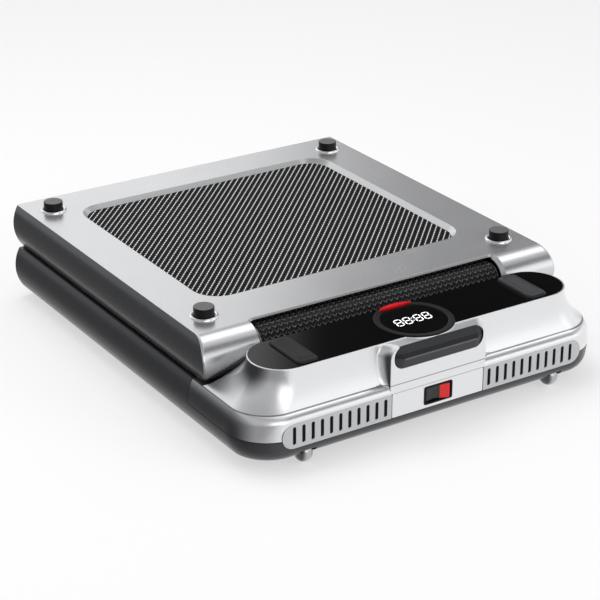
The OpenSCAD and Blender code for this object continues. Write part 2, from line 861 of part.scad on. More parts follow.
module notch_cut() {
    w = belt_width / 2 + 4;
    difference() {
        union() {
            across(-w, w) {
                translate([nose_y - 40, z0 - 1]) square([40, slab_height + 2]);
                translate([nose_y, z0 + slab_height / 2 - 10]) square([6, slab_height]);
            }
            hull() {
                across(-w - 4, w + 4) translate([nose_y - 34, z0 - 2]) square([34, 2]);
                across(-w, w) translate([nose_y - 34, z0 - 2]) square([37, 8]);
            }
        }
    }
}

module rear_frame() {
    color("#b9bcc1") rear_half() difference() {
        union() {
            difference() {
                intersection() {
                    rear_shape(0);
                    across(-300, 300) nose_outline(nose_radius);
                }
                difference() {
                    intersection() {
                        rear_shape(wall);
                        across(-300, 300) nose_outline(nose_radius - plate);
                    }
                    window_rim();
                    both_sides() across(belt_width / 2 + 4, belt_width / 2 + 7) difference() {
                        translate([nose_y, roller_z]) circle(nose_radius - 1);
                        translate([nose_y, roller_z]) circle(nose_radius - 7.2);
                        translate([nose_y, roller_z]) square(60);
                    }
                }
            }
        }
        notch_cut();
        window_cut();
        fold_face_cut();
        both_sides() for (y = foot_ys) translate([foot_x, y, 0]) cylinder(r = 2.5, h = 30);
    }
}

module rear_rail() {
    intersection() {
        difference() {
            translate([belt_width / 2 + 5, nose_y, z1 - 3]) cube([100, y_end - nose_y, 3]);
            fold_face_cut();
        }
        along(nose_y, y_end - wall) side_section(wall, z1 - 3, z1, false);
    }
}

module rear_rails() {
    color("#2a2b2e") rear_half() both_sides() rear_rail();
}

module rear_beams() {
    color("#5c5f64") rear_half() both_sides() beam();
}

module rear_window_panel() {
    color("#1d1e20") rear_half() window_panel();
}

module rear_cross_members() {
    color("#5c5f64") rear_half() cross_members();
}

module rear_cushions() {
    color("#1b1b1b") rear_half() cushions();
}

module rear_deck_board() {
    color("#6b4f35") rear_half() deck_board();
}

module rear_guide_rod() {
    color("#8c8f94") rear_half() guide_rod();
}

module rear_belt() {
    color("#18191b") rear_half() belt_run();
}

module rear_roller() {
    color("#8c8f94") rear_half() roller(false);
}

module rear_axle() {
    color("#8c8f94") rear_half() axle();
}

module rear_feet() {
    color("#151516") rear_half() {
        feet();
        foot_studs();
    }
}

module rear_foot_rings() {
    color("#c9cbce") rear_half() foot_rings();
}

module rear_hinges() {
    color("#6f7277") rear_half() both_sides() hinge_leaf([[hinge_in + 12.3, hinge_out - 12.3]],
        pin_radius + play);
}

// ---------- drawing ----------
base_tray();
hood_cover();
console_plate();
display_bezel();
display_lens();
display_board();
receiver_window();
switch_cover_plate();
switch_bezel();
vent_grille_left();
vent_grille_right();
front_grip();
power_inlet();
base_rails();
base_beams();
base_window_panel();
base_cross_members();
base_cushions();
base_deck_board();
base_guide_rod();
base_belt();
base_axle();
base_feet();
base_foot_rings();
stack_bumpers();
base_hinges();
hinge_pins();
motor_body();
motor_cradle();
motor_belt();
controller_board();
fan_housing();
wheel_axles();
fold_loop_inner();
fold_loop_outer();
front_roller();
motor_shaft();
fan_rotor();
transport_wheel_left();
transport_wheel_right();
rocker();
mode_button();
speed_key_left();
speed_key_right();
rear_frame();
rear_rails();
rear_beams();
rear_window_panel();
rear_cross_members();
rear_cushions();
rear_deck_board();
rear_guide_rod();
rear_belt();
rear_axle();
rear_feet();
rear_foot_rings();
rear_hinges();
rear_roller();
key_switches();
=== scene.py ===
import json
import math
import bpy
import bmesh
from mathutils import Matrix, Vector


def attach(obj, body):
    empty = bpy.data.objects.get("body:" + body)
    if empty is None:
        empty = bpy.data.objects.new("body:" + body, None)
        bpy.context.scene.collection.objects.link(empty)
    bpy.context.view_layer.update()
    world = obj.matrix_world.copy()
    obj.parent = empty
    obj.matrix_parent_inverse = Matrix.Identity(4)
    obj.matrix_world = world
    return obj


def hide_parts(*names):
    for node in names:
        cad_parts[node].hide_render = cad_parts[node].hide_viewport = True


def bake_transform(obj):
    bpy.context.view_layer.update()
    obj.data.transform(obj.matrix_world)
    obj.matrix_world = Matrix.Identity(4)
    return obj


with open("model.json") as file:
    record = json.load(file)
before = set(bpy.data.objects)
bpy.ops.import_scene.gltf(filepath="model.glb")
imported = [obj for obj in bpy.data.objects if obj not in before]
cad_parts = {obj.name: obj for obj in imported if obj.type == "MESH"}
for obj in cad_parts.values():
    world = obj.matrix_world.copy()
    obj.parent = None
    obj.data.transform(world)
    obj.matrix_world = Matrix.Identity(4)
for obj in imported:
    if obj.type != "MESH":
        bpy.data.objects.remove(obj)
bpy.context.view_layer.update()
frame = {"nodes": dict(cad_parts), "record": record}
nodes = frame["nodes"]

# Sizes in millimetres. Y runs from the nose line to the fold, Z from the floor.
Y_NOSE = -189.25                               # the nose line's Y in the frame
Z0, Z1, Z_CONSOLE = 12.5, 71.0, 118.5          # underside and top of a half, top of the console
Z_BAND, Z_BEND = 29.0, 60.5                    # the front wall is upright between these
Z_SEAM, GAP = 41.0, 0.45                       # seam between hood and tray, half its width
Y_FRONT, Y_SPLIT, Y_END = -126.0, 15.0, 481.0
HALF_W = 249.0
CORNER_X, CORNER_Y, CORNER_R = 202.0, -70.5, 47.0
NOSE_Y, NOSE_R, ROLLER_Z = 5.25, 29.25, 41.75
TURN = 144.5                                   # mirrors the rear half over the base
CRADLE_Z = TURN - ROLLER_Z
CONSOLE_Y, LOBE_X, LOBE_R = -69.6, 181.4, 39.4
DISC_Y, DISC_R = -74.6, 48.2
BUTTON_Y, FLANGE_Y = 38.2, 33.0                # chords of the red button and of its flange
PAD_X = 164.5
BAR_X, BAR_Z = 199.25, 44.75                   # half length and height of the front band
FOOT_X, FOOT_Y = 216.2, (42.6, 437.5)
WHEEL_X, WHEEL_Y, WHEEL_Z = 178.6, -111, 14.3
INLET = ((227, -60, 38.5), (287, -32, 58.5))
WINDOW_Y = 251.5
BELT_HALF, BELT = 171.5, 1.6
FOLD_Y, FOLD_Z = 481.5, 72.25


# ---------- shaping ----------
def solid(bm, name="work"):
    """An object in the scene, made of a bmesh."""
    mesh = bpy.data.meshes.new(name)
    bm.to_mesh(mesh)
    bm.free()
    obj = bpy.data.objects.new(name, mesh)
    bpy.context.scene.collection.objects.link(obj)
    return obj


def polar(r, degrees, cx=0.0, cy=0.0):
    """The point at a distance and an angle from a centre."""
    a = math.radians(degrees)
    return cx + r * math.cos(a), cy + r * math.sin(a)


def rounded(w, l, r, n=6, cx=0.0, cy=0.0):
    """Outline of a rectangle with round corners."""
    return [polar(r, start + 90 * i / n, cx + qx * (w / 2 - r), cy + qy * (l / 2 - r))
            for qx, qy, start in ((1, 1, 0), (-1, 1, 90), (-1, -1, 180), (1, -1, 270)) for i in range(n + 1)]


def stadium(reach, r, n=32, cx=0.0, cy=0.0):
    """Outline of a bar with half-round ends, whose centres are reach from the middle."""
    return [polar(r, start + 180 * i / n, cx + side * reach, cy)
            for side, start in ((1, -90), (-1, 90)) for i in range(n + 1)]


def circle(r, n=96, cx=0.0, cy=0.0):
    return [(cx + r * math.cos(2 * math.pi * i / n), cy + r * math.sin(2 * math.pi * i / n)) for i in range(n)]


def outward(bm):
    bm.normal_update()
    bmesh.ops.recalc_face_normals(bm, faces=bm.faces[:])
    return bm


def skin(rows):
    """Draws a closed row of vertices out through the later rows and caps both ends."""
    bm = bmesh.new()
    ring = [bm.verts.new(p) for p in rows[0]]
    edges = [bm.edges.new((ring[i], ring[(i + 1) % len(ring)])) for i in range(len(ring))]
    bm.faces.new(ring)
    for row in rows[1:]:
        out = bmesh.ops.extrude_edge_only(bm, edges=edges)["geom"]
        fresh = {g for g in out if isinstance(g, bmesh.types.BMVert)}
        follow = []
        for v in ring:
            follow.append(next(e.other_vert(v) for e in v.link_edges if e.other_vert(v) in fresh))
        edges = [g for g in out if isinstance(g, bmesh.types.BMEdge) and g.verts[0] in fresh and g.verts[1] in fresh]
        for v, p in zip(follow, row):
            v.co = p
        ring = follow
    bmesh.ops.contextual_create(bm, geom=edges)
    return outward(bm)


def flat(outline, z):
    return [(x, y, z) for x, y in outline]


def round_edges(bm, edges, width, steps):
    bmesh.ops.bevel(bm, geom=edges, offset=width, offset_type="OFFSET", segments=steps, profile=0.5,
                    affect="EDGES", clamp_overlap=True, material=-1)


def upright(outline, za, zb, edge=0.0, foot=0.0, steps=4):
    """Outline drawn up from za to zb, its top edge and its foot rounded."""
    bm = skin([flat(outline, za), flat(outline, zb)])
    for z, r in ((zb, edge), (za, foot)):
        if r:
            bm.edges.ensure_lookup_table()
            round_edges(bm, [e for e in bm.edges if all(abs(v.co.z - z) < 1e-6 for v in e.verts)], r, steps)
    return bm


def lengthwise(outline, ya, yb, edge=0.0, steps=3):
    """An outline in X and Z drawn along Y, from its face at ya."""
    bm = upright(outline, 0.0, yb - ya, 0.0, edge, steps)
    for v in bm.verts:
        v.co = (v.co.x, ya + v.co.z, v.co.y)
    return outward(bm)


def crosswise(outline, xa, xb):
    """An outline in Y and Z drawn along X."""
    bm = upright(outline, xa, xb)
    for v in bm.verts:
        v.co = (v.co.z, v.co.x, v.co.y)
    return outward(bm)


def turned(profile, axis_at, axis="Z", steps=64):
    """A profile of (radius, height) spun all the way round."""
    bm = bmesh.new()
    verts = [bm.verts.new((max(r, 0.0), 0, h)) for r, h in profile]
    edges = [bm.edges.new((a, b)) for a, b in zip(verts, verts[1:])]
    bmesh.ops.spin(bm, geom=verts + edges, cent=(0, 0, 0), axis=(0, 0, 1), angle=2 * math.pi, steps=steps,
                   use_merge=True)
    bmesh.ops.remove_doubles(bm, verts=bm.verts[:], dist=1e-4)
    bmesh.ops.dissolve_degenerate(bm, edges=bm.edges[:], dist=1e-5)
    if axis == "X":
        bmesh.ops.rotate(bm, verts=bm.verts[:], cent=(0, 0, 0), matrix=Matrix.Rotation(math.pi / 2, 3, "Y"))
    bmesh.ops.translate(bm, verts=bm.verts[:], vec=axis_at)
    return outward(bm)


def block(low, high, edge=0.0):
    bm = bmesh.new()
    bmesh.ops.create_cube(bm, size=1.0)
    bmesh.ops.scale(bm, vec=Vector(high) - Vector(low), verts=bm.verts[:])
    bmesh.ops.translate(bm, vec=(Vector(high) + Vector(low)) / 2, verts=bm.verts[:])
    if edge:
        round_edges(bm, bm.edges[:], edge, 3)
    return bm


def together(*parts):
    """Several loose solids in one bmesh."""
    bm = bmesh.new()
    for part in parts:
        mesh = bpy.data.meshes.new("part")
        part.to_mesh(mesh)
        part.free()
        bm.from_mesh(mesh)
        bpy.data.meshes.remove(mesh)
    return bm


def mirrored(bm):
    """The same solid and its twin across the middle."""
    twin = bm.copy()
    bmesh.ops.scale(twin, vec=(-1, 1, 1), verts=twin.verts[:])
    bmesh.ops.reverse_faces(twin, faces=twin.faces[:])
    return together(bm, twin)


def cut(obj, tool, how="DIFFERENCE"):
    """Takes a tool from an object, or joins it, or keeps what both share."""
    tool = solid(tool) if isinstance(tool, bmesh.types.BMesh) else tool
    modifier = obj.modifiers.new("cut", "BOOLEAN")
    modifier.operation, modifier.object, modifier.solver = how, tool, "EXACT"
    bpy.context.view_layer.update()
    mesh = bpy.data.meshes.new_from_object(obj.evaluated_get(bpy.context.evaluated_depsgraph_get()))
    obj.modifiers.clear()
    old, obj.data = obj.data, mesh
    bpy.data.meshes.remove(old)
    bpy.data.objects.remove(tool)


def soften(obj, width, choose, steps=3):
    """Rounds the sharp edges that choose picks, given the middle of each edge."""
    bm = bmesh.new()
    bm.from_mesh(obj.data)
    bmesh.ops.remove_doubles(bm, verts=bm.verts[:], dist=1e-4)
    picked = [e for e in bm.edges if len(e.link_faces) == 2 and e.calc_face_angle(0) > 0.6
              and choose((e.verts[0].co + e.verts[1].co) / 2)]
    round_edges(bm, picked, width, steps)
    bm.to_mesh(obj.data)
    bm.free()


def settle(thing, name, body, stands_for, slot, sharp=32, over=False, weight=True, finish=None):
    """Moves a shape in millimetres to its place, hangs it on its body and gives it the finish of its slot, or the
    finish named.
    """
    obj = solid(thing) if isinstance(thing, bmesh.types.BMesh) else thing
    obj.name = name
    obj.data.name = name
    move = Matrix.Diagonal((0.001, 0.001, 0.001, 1.0))
    if over:
        move = move @ Matrix.Translation((0, 0, TURN)) @ Matrix.Diagonal((1, 1, -1, 1))
    obj.data.transform(Matrix.Translation((0, Y_NOSE / 1000, 0)) @ move)
    if over:
        obj.data.flip_normals()
    obj.data.shade_smooth()
    obj.data.set_sharp_from_angle(angle=math.radians(sharp))
    if weight:
        obj.modifiers.new("even_shading", "WEIGHTED_NORMAL").keep_sharp = True
    obj.data.materials.clear()
    obj.data.materials.append(F[finish or slot])
    if body:
        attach(obj, body)
    if stands_for:
        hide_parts(*stands_for)
    return obj


# ---------- finishes ----------
class Bench:
    """Places and wires nodes in a tree."""

    def __init__(self, tree):
        self.tree = tree

    def add(self, kind, **values):
        node = self.tree.nodes.new(kind)
        for key, value in values.items():
            setattr(node, key, value)
        return node

    def wire(self, source, target):
        self.tree.links.new(source, target)

    def feed(self, socket, value):
        if isinstance(value, bpy.types.NodeSocket):
            self.wire(value, socket)
        else:
            socket.default_value = value

    def math(self, operation, a, b=0.0):
        node = self.add("ShaderNodeMath", operation=operation)
        self.feed(node.inputs[0], a)
        self.feed(node.inputs[1], b)
        return node.outputs[0]

    def plus(self, value, *more):
        for other in more:
            value = self.math("ADD", value, other)
        return value

    def times(self, value, *more):
        for other in more:
            value = self.math("MULTIPLY", value, other)
        return value

    def minus(self, a, b):
        return self.math("SUBTRACT", a, b)

    def off(self, value, centre):
        """How far a value is from a centre."""
        return self.math("ABSOLUTE", self.minus(value, centre))

    def stripes(self, value, pitch, shift=None):
        """Runs from 0 to 0.5 and back once in each pitch."""
        count = self.times(value, 1 / pitch)
        return self.math("PINGPONG", count if shift is None else self.plus(count, shift), 0.5)

    def band(self, value, low, high, to_low=0.0, to_high=1.0):
        """Passes smoothly from one value to another between low and high."""
        node = self.add("ShaderNodeMapRange", interpolation_type="SMOOTHSTEP")
        self.feed(node.inputs["Value"], value)
        for key, number in (("From Min", low), ("From Max", high), ("To Min", to_low), ("To Max", to_high)):
            node.inputs[key].default_value = number
        return node.outputs["Result"]

    def mix(self, mask, a, b):
        node = self.add("ShaderNodeMix", data_type="RGBA")
        self.feed(node.inputs[0], mask)
        self.feed(node.inputs[6], a)
        self.feed(node.inputs[7], b)
        return node.outputs[2]

    def blend(self, mask, a, b):
        """Two shaders, the second where the mask is 1."""
        node = self.add("ShaderNodeMixShader")
        for socket, value in zip(node.inputs, (mask, a, b)):
            self.wire(value, socket)
        return node.outputs[0]

    def scaled(self, vector, factor):
        node = self.add("ShaderNodeVectorMath", operation="SCALE")
        self.feed(node.inputs[0], vector)
        self.wire(factor, node.inputs["Scale"])
        return node.outputs[0]

    def where(self):
        return self.add("ShaderNodeTexCoord").outputs["Object"]

    def stretched(self, scale, rotation=(0, 0, 0)):
        """The place on the object, turned and stretched."""
        node = self.add("ShaderNodeMapping")
        self.wire(self.where(), node.inputs["Vector"])
        node.inputs["Rotation"].default_value = rotation
        node.inputs["Scale"].default_value = scale
        return node.outputs["Vector"]

    def axes(self, vector=None):
        """X, Y and Z of a vector, or of the place on the object."""
        node = self.add("ShaderNodeSeparateXYZ")
        self.wire(self.where() if vector is None else vector, node.inputs[0])
        return tuple(node.outputs)

    def facing(self, axis):
        """How squarely a face looks along one axis."""
        return self.math("ABSOLUTE", self.axes(self.add("ShaderNodeNewGeometry").outputs["Normal"])[axis])

    def noise(self, vector, scale, detail=2.0, roughness=0.5):
        node = self.add("ShaderNodeTexNoise")
        self.wire(vector, node.inputs["Vector"])
        for key, number in (("Scale", scale), ("Detail", detail), ("Roughness", roughness)):
            node.inputs[key].default_value = number
        return node.outputs[0]

    def cells(self, vector, scale, **values):
        node = self.add("ShaderNodeTexVoronoi", **values)
        self.wire(vector, node.inputs["Vector"])
        node.inputs["Scale"].default_value = scale
        return node.outputs["Distance"]

    def group(self, tree, **values):
        """The outputs of a shared group that has its own numbers here."""
        node = self.add("ShaderNodeGroup", node_tree=tree)
        for key, value in values.items():
            node.inputs[key].default_value = value
        return node.outputs


def new_group(name, inputs, outputs):
    """A node group with number sockets, a bench to fill it, and both ends to wire."""
    tree = bpy.data.node_groups.new(name, "ShaderNodeTree")
    for key, value in inputs.items():
        tree.interface.new_socket(name=key, in_out="INPUT", socket_type="NodeSocketFloat").default_value = value
    for key in outputs:
        tree.interface.new_socket(name=key, in_out="OUTPUT", socket_type="NodeSocketFloat")
    b = Bench(tree)
    return tree, b, b.add("NodeGroupInput").outputs, b.add("NodeGroupOutput").inputs


def flake_group():
    """Fine metallic flake and a slow drift of tone, as in sprayed silver paint."""
    tree, b, given, out = new_group("paint_flake", {"Flake": 0.02, "Drift": 0.04}, ("Tone", "Height"))
    where = b.where()
    fine, peel, slow = b.noise(where, 2600.0, 1.0), b.noise(where, 420.0), b.noise(where, 7.0, 3.0)
    flake = b.times(b.minus(fine, 0.5), given["Flake"])
    drift = b.times(b.minus(slow, 0.5), given["Drift"])
    b.wire(b.plus(flake, drift, 1.0), out["Tone"])
    b.wire(b.plus(b.times(peel, 0.7), b.times(fine, 0.3)), out["Height"])
    return tree


def wear_group():
    """Soft smudges and fine scuffs of handled surfaces."""
    tree, b, given, out = new_group("handling_marks", {"Smudge": 0.08, "Scuff": 0.1}, ("Roughness Shift", "Scuffs"))
    where = b.where()
    smudge = b.noise(where, 16.0, 4.0, 0.6)
    line = b.noise(b.stretched((14.0, 900.0, 40.0), (0.2, 0.1, 0.7)), 1.0)
    scuff = b.times(b.band(line, 0.72, 0.8), b.band(b.noise(where, 9.0), 0.5, 0.7))
    b.wire(b.times(b.minus(smudge, 0.5), given["Smudge"]), out["Roughness Shift"])
    b.wire(b.times(scuff, given["Scuff"]), out["Scuffs"])
    return tree


def moulded_group():
    """Spark-eroded grain of moulded plastic and rubber."""
    tree, b, given, out = new_group("moulded_grain", {"Size": 1.0}, ("Height", "Tone"))
    place = b.scaled(b.where(), given["Size"])
    cell = b.cells(place, 1400.0, feature="SMOOTH_F1")
    fine = b.noise(place, 900.0, 3.0, 0.6)
    b.wire(b.plus(b.times(cell, 0.6), b.times(fine, 0.5)), out["Height"])
    b.wire(b.plus(b.times(b.minus(fine, 0.5), 0.25), 1.0), out["Tone"])
    return tree


FLAKE, WEAR, GRAIN = flake_group(), wear_group(), moulded_group()


def cleared(owner):
    """A bench on the emptied node tree of a material or a world."""
    owner.use_nodes = True
    owner.node_tree.nodes.clear()
    return Bench(owner.node_tree)


def shader(name, color, rough, metallic=0.0, **sockets):
    """A material with its own Principled shader, and a bench to wire the rest."""
    material = bpy.data.materials.new(name)
    b = cleared(material)
    material.diffuse_color = (*color, 1.0)
    out = b.add("ShaderNodeOutputMaterial")
    face = b.add("ShaderNodeBsdfPrincipled")
    b.wire(face.outputs[0], out.inputs[0])
    face.inputs["Base Color"].default_value = (*color, 1.0)
    face.inputs["Roughness"].default_value = rough
    face.inputs["Metallic"].default_value = metallic
    for key, value in sockets.items():
        face.inputs[key.replace("_", " ")].default_value = value
    return material, b, face


def dress(b, face, color, rough, height=None, distance=0.0, strength=1.0):
    """Wires colour, roughness and relief into a shader."""
    b.wire(color, face.inputs["Base Color"])
    b.wire(rough, face.inputs["Roughness"])
    if height is not None:
        bump = b.add("ShaderNodeBump")
        bump.inputs["Distance"].default_value = distance
        bump.inputs["Strength"].default_value = strength
        b.wire(height, bump.inputs["Height"])
        b.wire(bump.outputs[0], face.inputs["Normal"])


def silver(name, color, side, rough=0.3, metallic=0.85, side_start=0.78, side_full=0.86, crease=None, shade_under_nose=False):
    """Satin silver paint with painted shade: darker where a face looks sideways, along a crease at one height and
    under the nose.
    """
    material, b, face = shader(name, color, rough, metallic, Coat_Weight=0.25, Coat_Roughness=0.12)
    flake, wear = b.group(FLAKE), b.group(WEAR, Smudge=0.09, Scuff=0.008)
    tone = flake["Tone"]
    # Painted shade: a dark line along the crease at this height.
    if crease:
        tone = b.times(tone, b.band(b.off(b.axes()[2], crease), 0.0002, 0.0009, 0.3, 1.0))
    # Painted shade on the front of the nose, darker towards its underside.
    if shade_under_nose:
        _, y, z = b.axes()
        nose_underside_shade = b.times(b.band(z, 0.080, 0.106, 0.72, 0.0), b.band(y, -0.190, -0.186, 1.0, 0.0))
        tone = b.times(tone, b.minus(1.0, nose_underside_shade))
    # Painted shade: faces that look sideways take the darker side colour.
    sideways = b.band(b.facing(0), side_start, side_full)
    dress(b, face, b.mix(sideways, b.scaled(color, tone), b.scaled(side, tone)),
          b.plus(wear["Roughness Shift"], rough, wear["Scuffs"]), flake["Height"], 0.00004, 0.2)
    return material


def moulded(name, color, rough, shine):
    material, b, face = shader(name, color, rough, Specular_IOR_Level=shine)
    grain = b.group(GRAIN)
    dress(b, face, b.scaled(color, grain["Tone"]), b.plus(b.group(WEAR)["Roughness Shift"], rough),
          grain["Height"], 0.00008)
    return material


def gloss(name, color, rough, smudge=0.05, shine=0.5):
    material, b, face = shader(name, color, rough, Specular_IOR_Level=shine)
    wear = b.group(WEAR, Smudge=smudge, Scuff=0.12)
    dress(b, face, b.scaled(color, b.group(FLAKE)["Tone"]), b.plus(wear["Roughness Shift"], rough, wear["Scuffs"]))
    return material


def metal(name, color, rough):
    """Metal brushed one way."""
    material, b, face = shader(name, color, rough, 1.0)
    line = b.noise(b.stretched((1.0, 1.0, 60.0)), 60.0, 3.0)
    dress(b, face, b.scaled(color, b.band(line, 0.2, 0.8, 0.85, 1.1)),
          b.plus(b.times(line, 0.12), b.group(WEAR)["Roughness Shift"], rough - 0.06), line, 0.00003, 0.6)
    return material


def belt_finish():
    """Black running belt with raised chevrons that follow the belt's own run, with painted glints on their crests and
    painted shade in the grooves between them.
    """
    material, b, face = shader("belt_tread", (0.016, 0.016, 0.018), 0.42, Specular_IOR_Level=0.2)
    x, y, _ = b.axes(b.add("ShaderNodeUVMap", uv_map="run").outputs[0])
    column = b.stripes(x, 0.0081)
    row = b.stripes(y, 0.0064, b.times(column, 1.25))
    ridge = b.times(b.band(row, 0.16, 0.34), b.band(column, 0.03, 0.12))
    # Painted highlight: pale lines along the chevron crests stand for glints.
    crest = b.times(b.band(row, 0.36, 0.47), b.band(column, 0.06, 0.2))
    grit = b.noise(b.where(), 900.0, 3.0, 0.7)
    painted_glints = b.times(crest, b.band(grit, 0.38, 0.62))
    # Painted shade: the grooves between the ridges are darker than the ridges.
    dark = b.mix(ridge, (0.002, 0.002, 0.0025, 1), (0.014, 0.014, 0.015, 1))
    dress(b, face, b.mix(painted_glints, dark, (0.24, 0.24, 0.245, 1)), b.band(grit, 0.3, 0.7, 0.3, 0.55),
          b.plus(ridge, b.times(crest, 0.5), b.times(grit, 0.2)), 0.0009)
    return material


def screen_finish():
    """Open black mesh with fine pale threads that run across it at about 45 degrees."""
    lean, thread_pitch, knot_pitch = -46.3, 0.00693, 0.0066
    material, b, face = shader("vent_mesh", (0.02, 0.02, 0.022), 0.5, Specular_IOR_Level=0.04)
    along, over, _ = b.axes(b.stretched((1, 1, 1), (0, 0, math.radians(lean))))
    knot = b.band(b.stripes(along, knot_pitch), 0.08, 0.36, 0.3, 1.0)
    thread = b.times(b.band(b.stripes(over, thread_pitch), 0.05, 0.11, 1.0, 0.0), knot)
    across = b.stripes(over, thread_pitch / 2)
    shifted = b.stripes(along, knot_pitch, b.times(over, 1 / thread_pitch))
    weave = b.times(b.band(across, 0.08, 0.3), b.band(shifted, 0.16, 0.36))
    dark = b.mix(weave, (0.0002, 0.0002, 0.0002, 1), (0.034, 0.035, 0.035, 1))
    dress(b, face, b.mix(thread, dark, (0.92, 0.93, 0.92, 1)), b.band(weave, 0.0, 1.0, 0.7, 0.4),
          b.plus(weave, thread), 0.0005)
    return material


def pad_finish():
    """Soft rubber pads, with rows of small dots on the crown of the left one and a painted highlight along the rim."""
    pitch, rim_z = 0.0028, 0.1224
    material, b, face = shader("pad_rubber", (0.03, 0.03, 0.032), 0.4, Specular_IOR_Level=0.16)
    x, y, z = b.axes()
    px = b.minus(b.stripes(b.math("ABSOLUTE", x), pitch), 0.25)
    py = b.minus(b.stripes(y, pitch), 0.25)
    spot = b.band(b.math("SQRT", b.plus(b.times(px, px), b.times(py, py))), 0.14, 0.22, 1.0, 0.0)
    left = b.band(x, -0.01, 0.0, 1.0, 0.0)
    dots = b.times(spot, b.band(z, 0.1216, rim_z), left)
    # Painted highlight: a paler band at the rim height, a little stronger on the right pad.
    rim_highlight = b.times(b.band(b.off(z, rim_z), 0.0003, 0.0012, 1.0, 0.0), b.band(left, 0.0, 1.0, 0.6, 0.45))
    grain = b.group(GRAIN)["Height"]
    rubber = b.mix(rim_highlight, (0.020, 0.020, 0.022, 1), (0.060, 0.062, 0.065, 1))
    dress(b, face, b.mix(dots, rubber, (0.004, 0.004, 0.0045, 1)), b.band(grain, 0.0, 1.0, 0.3, 0.45),
          b.plus(b.times(dots, -1.0), b.times(grain, 0.12)), 0.0004)
    return material


def foot_finish():
    """Black rubber whose flat ends are painted paler, a painted highlight for the light they catch."""
    material, b, face = shader("foot_rubber", (0.014, 0.014, 0.015), 0.45, Specular_IOR_Level=0.25)
    grain = b.group(GRAIN, Size=0.8)
    # Painted highlight: the flat ends, which face up or down, take a paler colour than the sides.
    side, tread = (b.scaled(color, grain["Tone"]) for color in ((0.004, 0.004, 0.0045), (0.11, 0.11, 0.113)))
    dress(b, face, b.mix(b.band(b.facing(2), 0.85, 0.97), side, tread),
          b.band(grain["Height"], 0.0, 1.0, 0.36, 0.55), grain["Height"], 0.0001)
    return material


def grip_finish():
    """Grip rubber with painted light: a painted highlight along the ridge, painted shade in the hollow above it and on
    the brow.
    """
    material, b, face = shader("grip_rubber", (0.03, 0.031, 0.034), 0.4, Specular_IOR_Level=0.2)
    x, _, z = b.axes()
    grain = b.group(GRAIN, Size=0.9)
    # Painted highlight: a pale line along the ridge.
    ridge = b.times(b.band(b.off(z, 0.1029), 0.0005, 0.0013, 1.0, 0.0),
                    b.band(b.math("ABSOLUTE", x), 0.050, 0.053, 1.0, 0.0))
    # Painted shade: near-black in the hollow above the ridge, a darker brow above that; the lower facet stays lighter.
    low, hollow, brow = (b.scaled(color, grain["Tone"]) for color in
                         ((0.034, 0.035, 0.038), (0.010, 0.010, 0.011), (0.026, 0.027, 0.029)))
    rest = b.mix(b.band(z, 0.1088, 0.1102), b.mix(b.band(z, 0.1036, 0.1044), low, hollow), brow)
    dress(b, face, b.mix(ridge, rest, (0.115, 0.117, 0.12, 1)),
          b.band(grain["Height"], 0.0, 1.0, 0.32, 0.5), grain["Height"], 0.0001)
    return material


def rocker_finish():
    """One moulding in two shots: black on the off side, red on the on side."""
    material, b, face = shader("rocker_two_shot", (0.6, 0.01, 0.01), 0.22)
    x = b.axes()[0]
    grain = b.group(GRAIN)
    slit = b.band(b.off(x, -0.0058), 0.0011, 0.0015, 0.1, 1.0)
    black = b.scaled((0.004, 0.004, 0.0045), b.times(grain["Tone"], slit))
    red = b.scaled((0.72, 0.004, 0.006), grain["Tone"])
    dress(b, face, b.mix(b.band(x, 0.0030, 0.0034), black, red),
          b.band(grain["Height"], 0.0, 1.0, 0.18, 0.3), grain["Height"], 0.00004)
    return material


def wood_finish():
    material, b, face = shader("deck_board_fibre", (0.2, 0.12, 0.07), 0.7)
    ring = b.noise(b.stretched((40.0, 4.0, 400.0)), 3.0, 4.0)
    dress(b, face, b.mix(ring, (0.12, 0.07, 0.04, 1), (0.28, 0.18, 0.11, 1)), b.band(ring, 0.3, 0.7, 0.6, 0.8),
          ring, 0.0002)
    return material


def board_finish():
    material, b, face = shader("circuit_board", (0.02, 0.12, 0.05), 0.4)
    trace = b.band(b.cells(b.where(), 260.0, feature="F1", distance="MANHATTAN"), 0.42, 0.5)
    dress(b, face, b.mix(trace, (0.012, 0.09, 0.035, 1), (0.05, 0.2, 0.08, 1)), b.band(trace, 0.0, 1.0, 0.45, 0.3),
          trace, 0.0001)
    return material


def digit_finish():
    material, b, face = shader("white_segments", (0.9, 0.92, 0.95), 0.4, Emission_Strength=1.0)
    glow = b.noise(b.where(), 700.0, 1.0)
    b.wire(b.mix(glow, (0.86, 0.9, 0.95, 1), (1.0, 1.0, 1.0, 1)), face.inputs["Emission Color"])
    return material


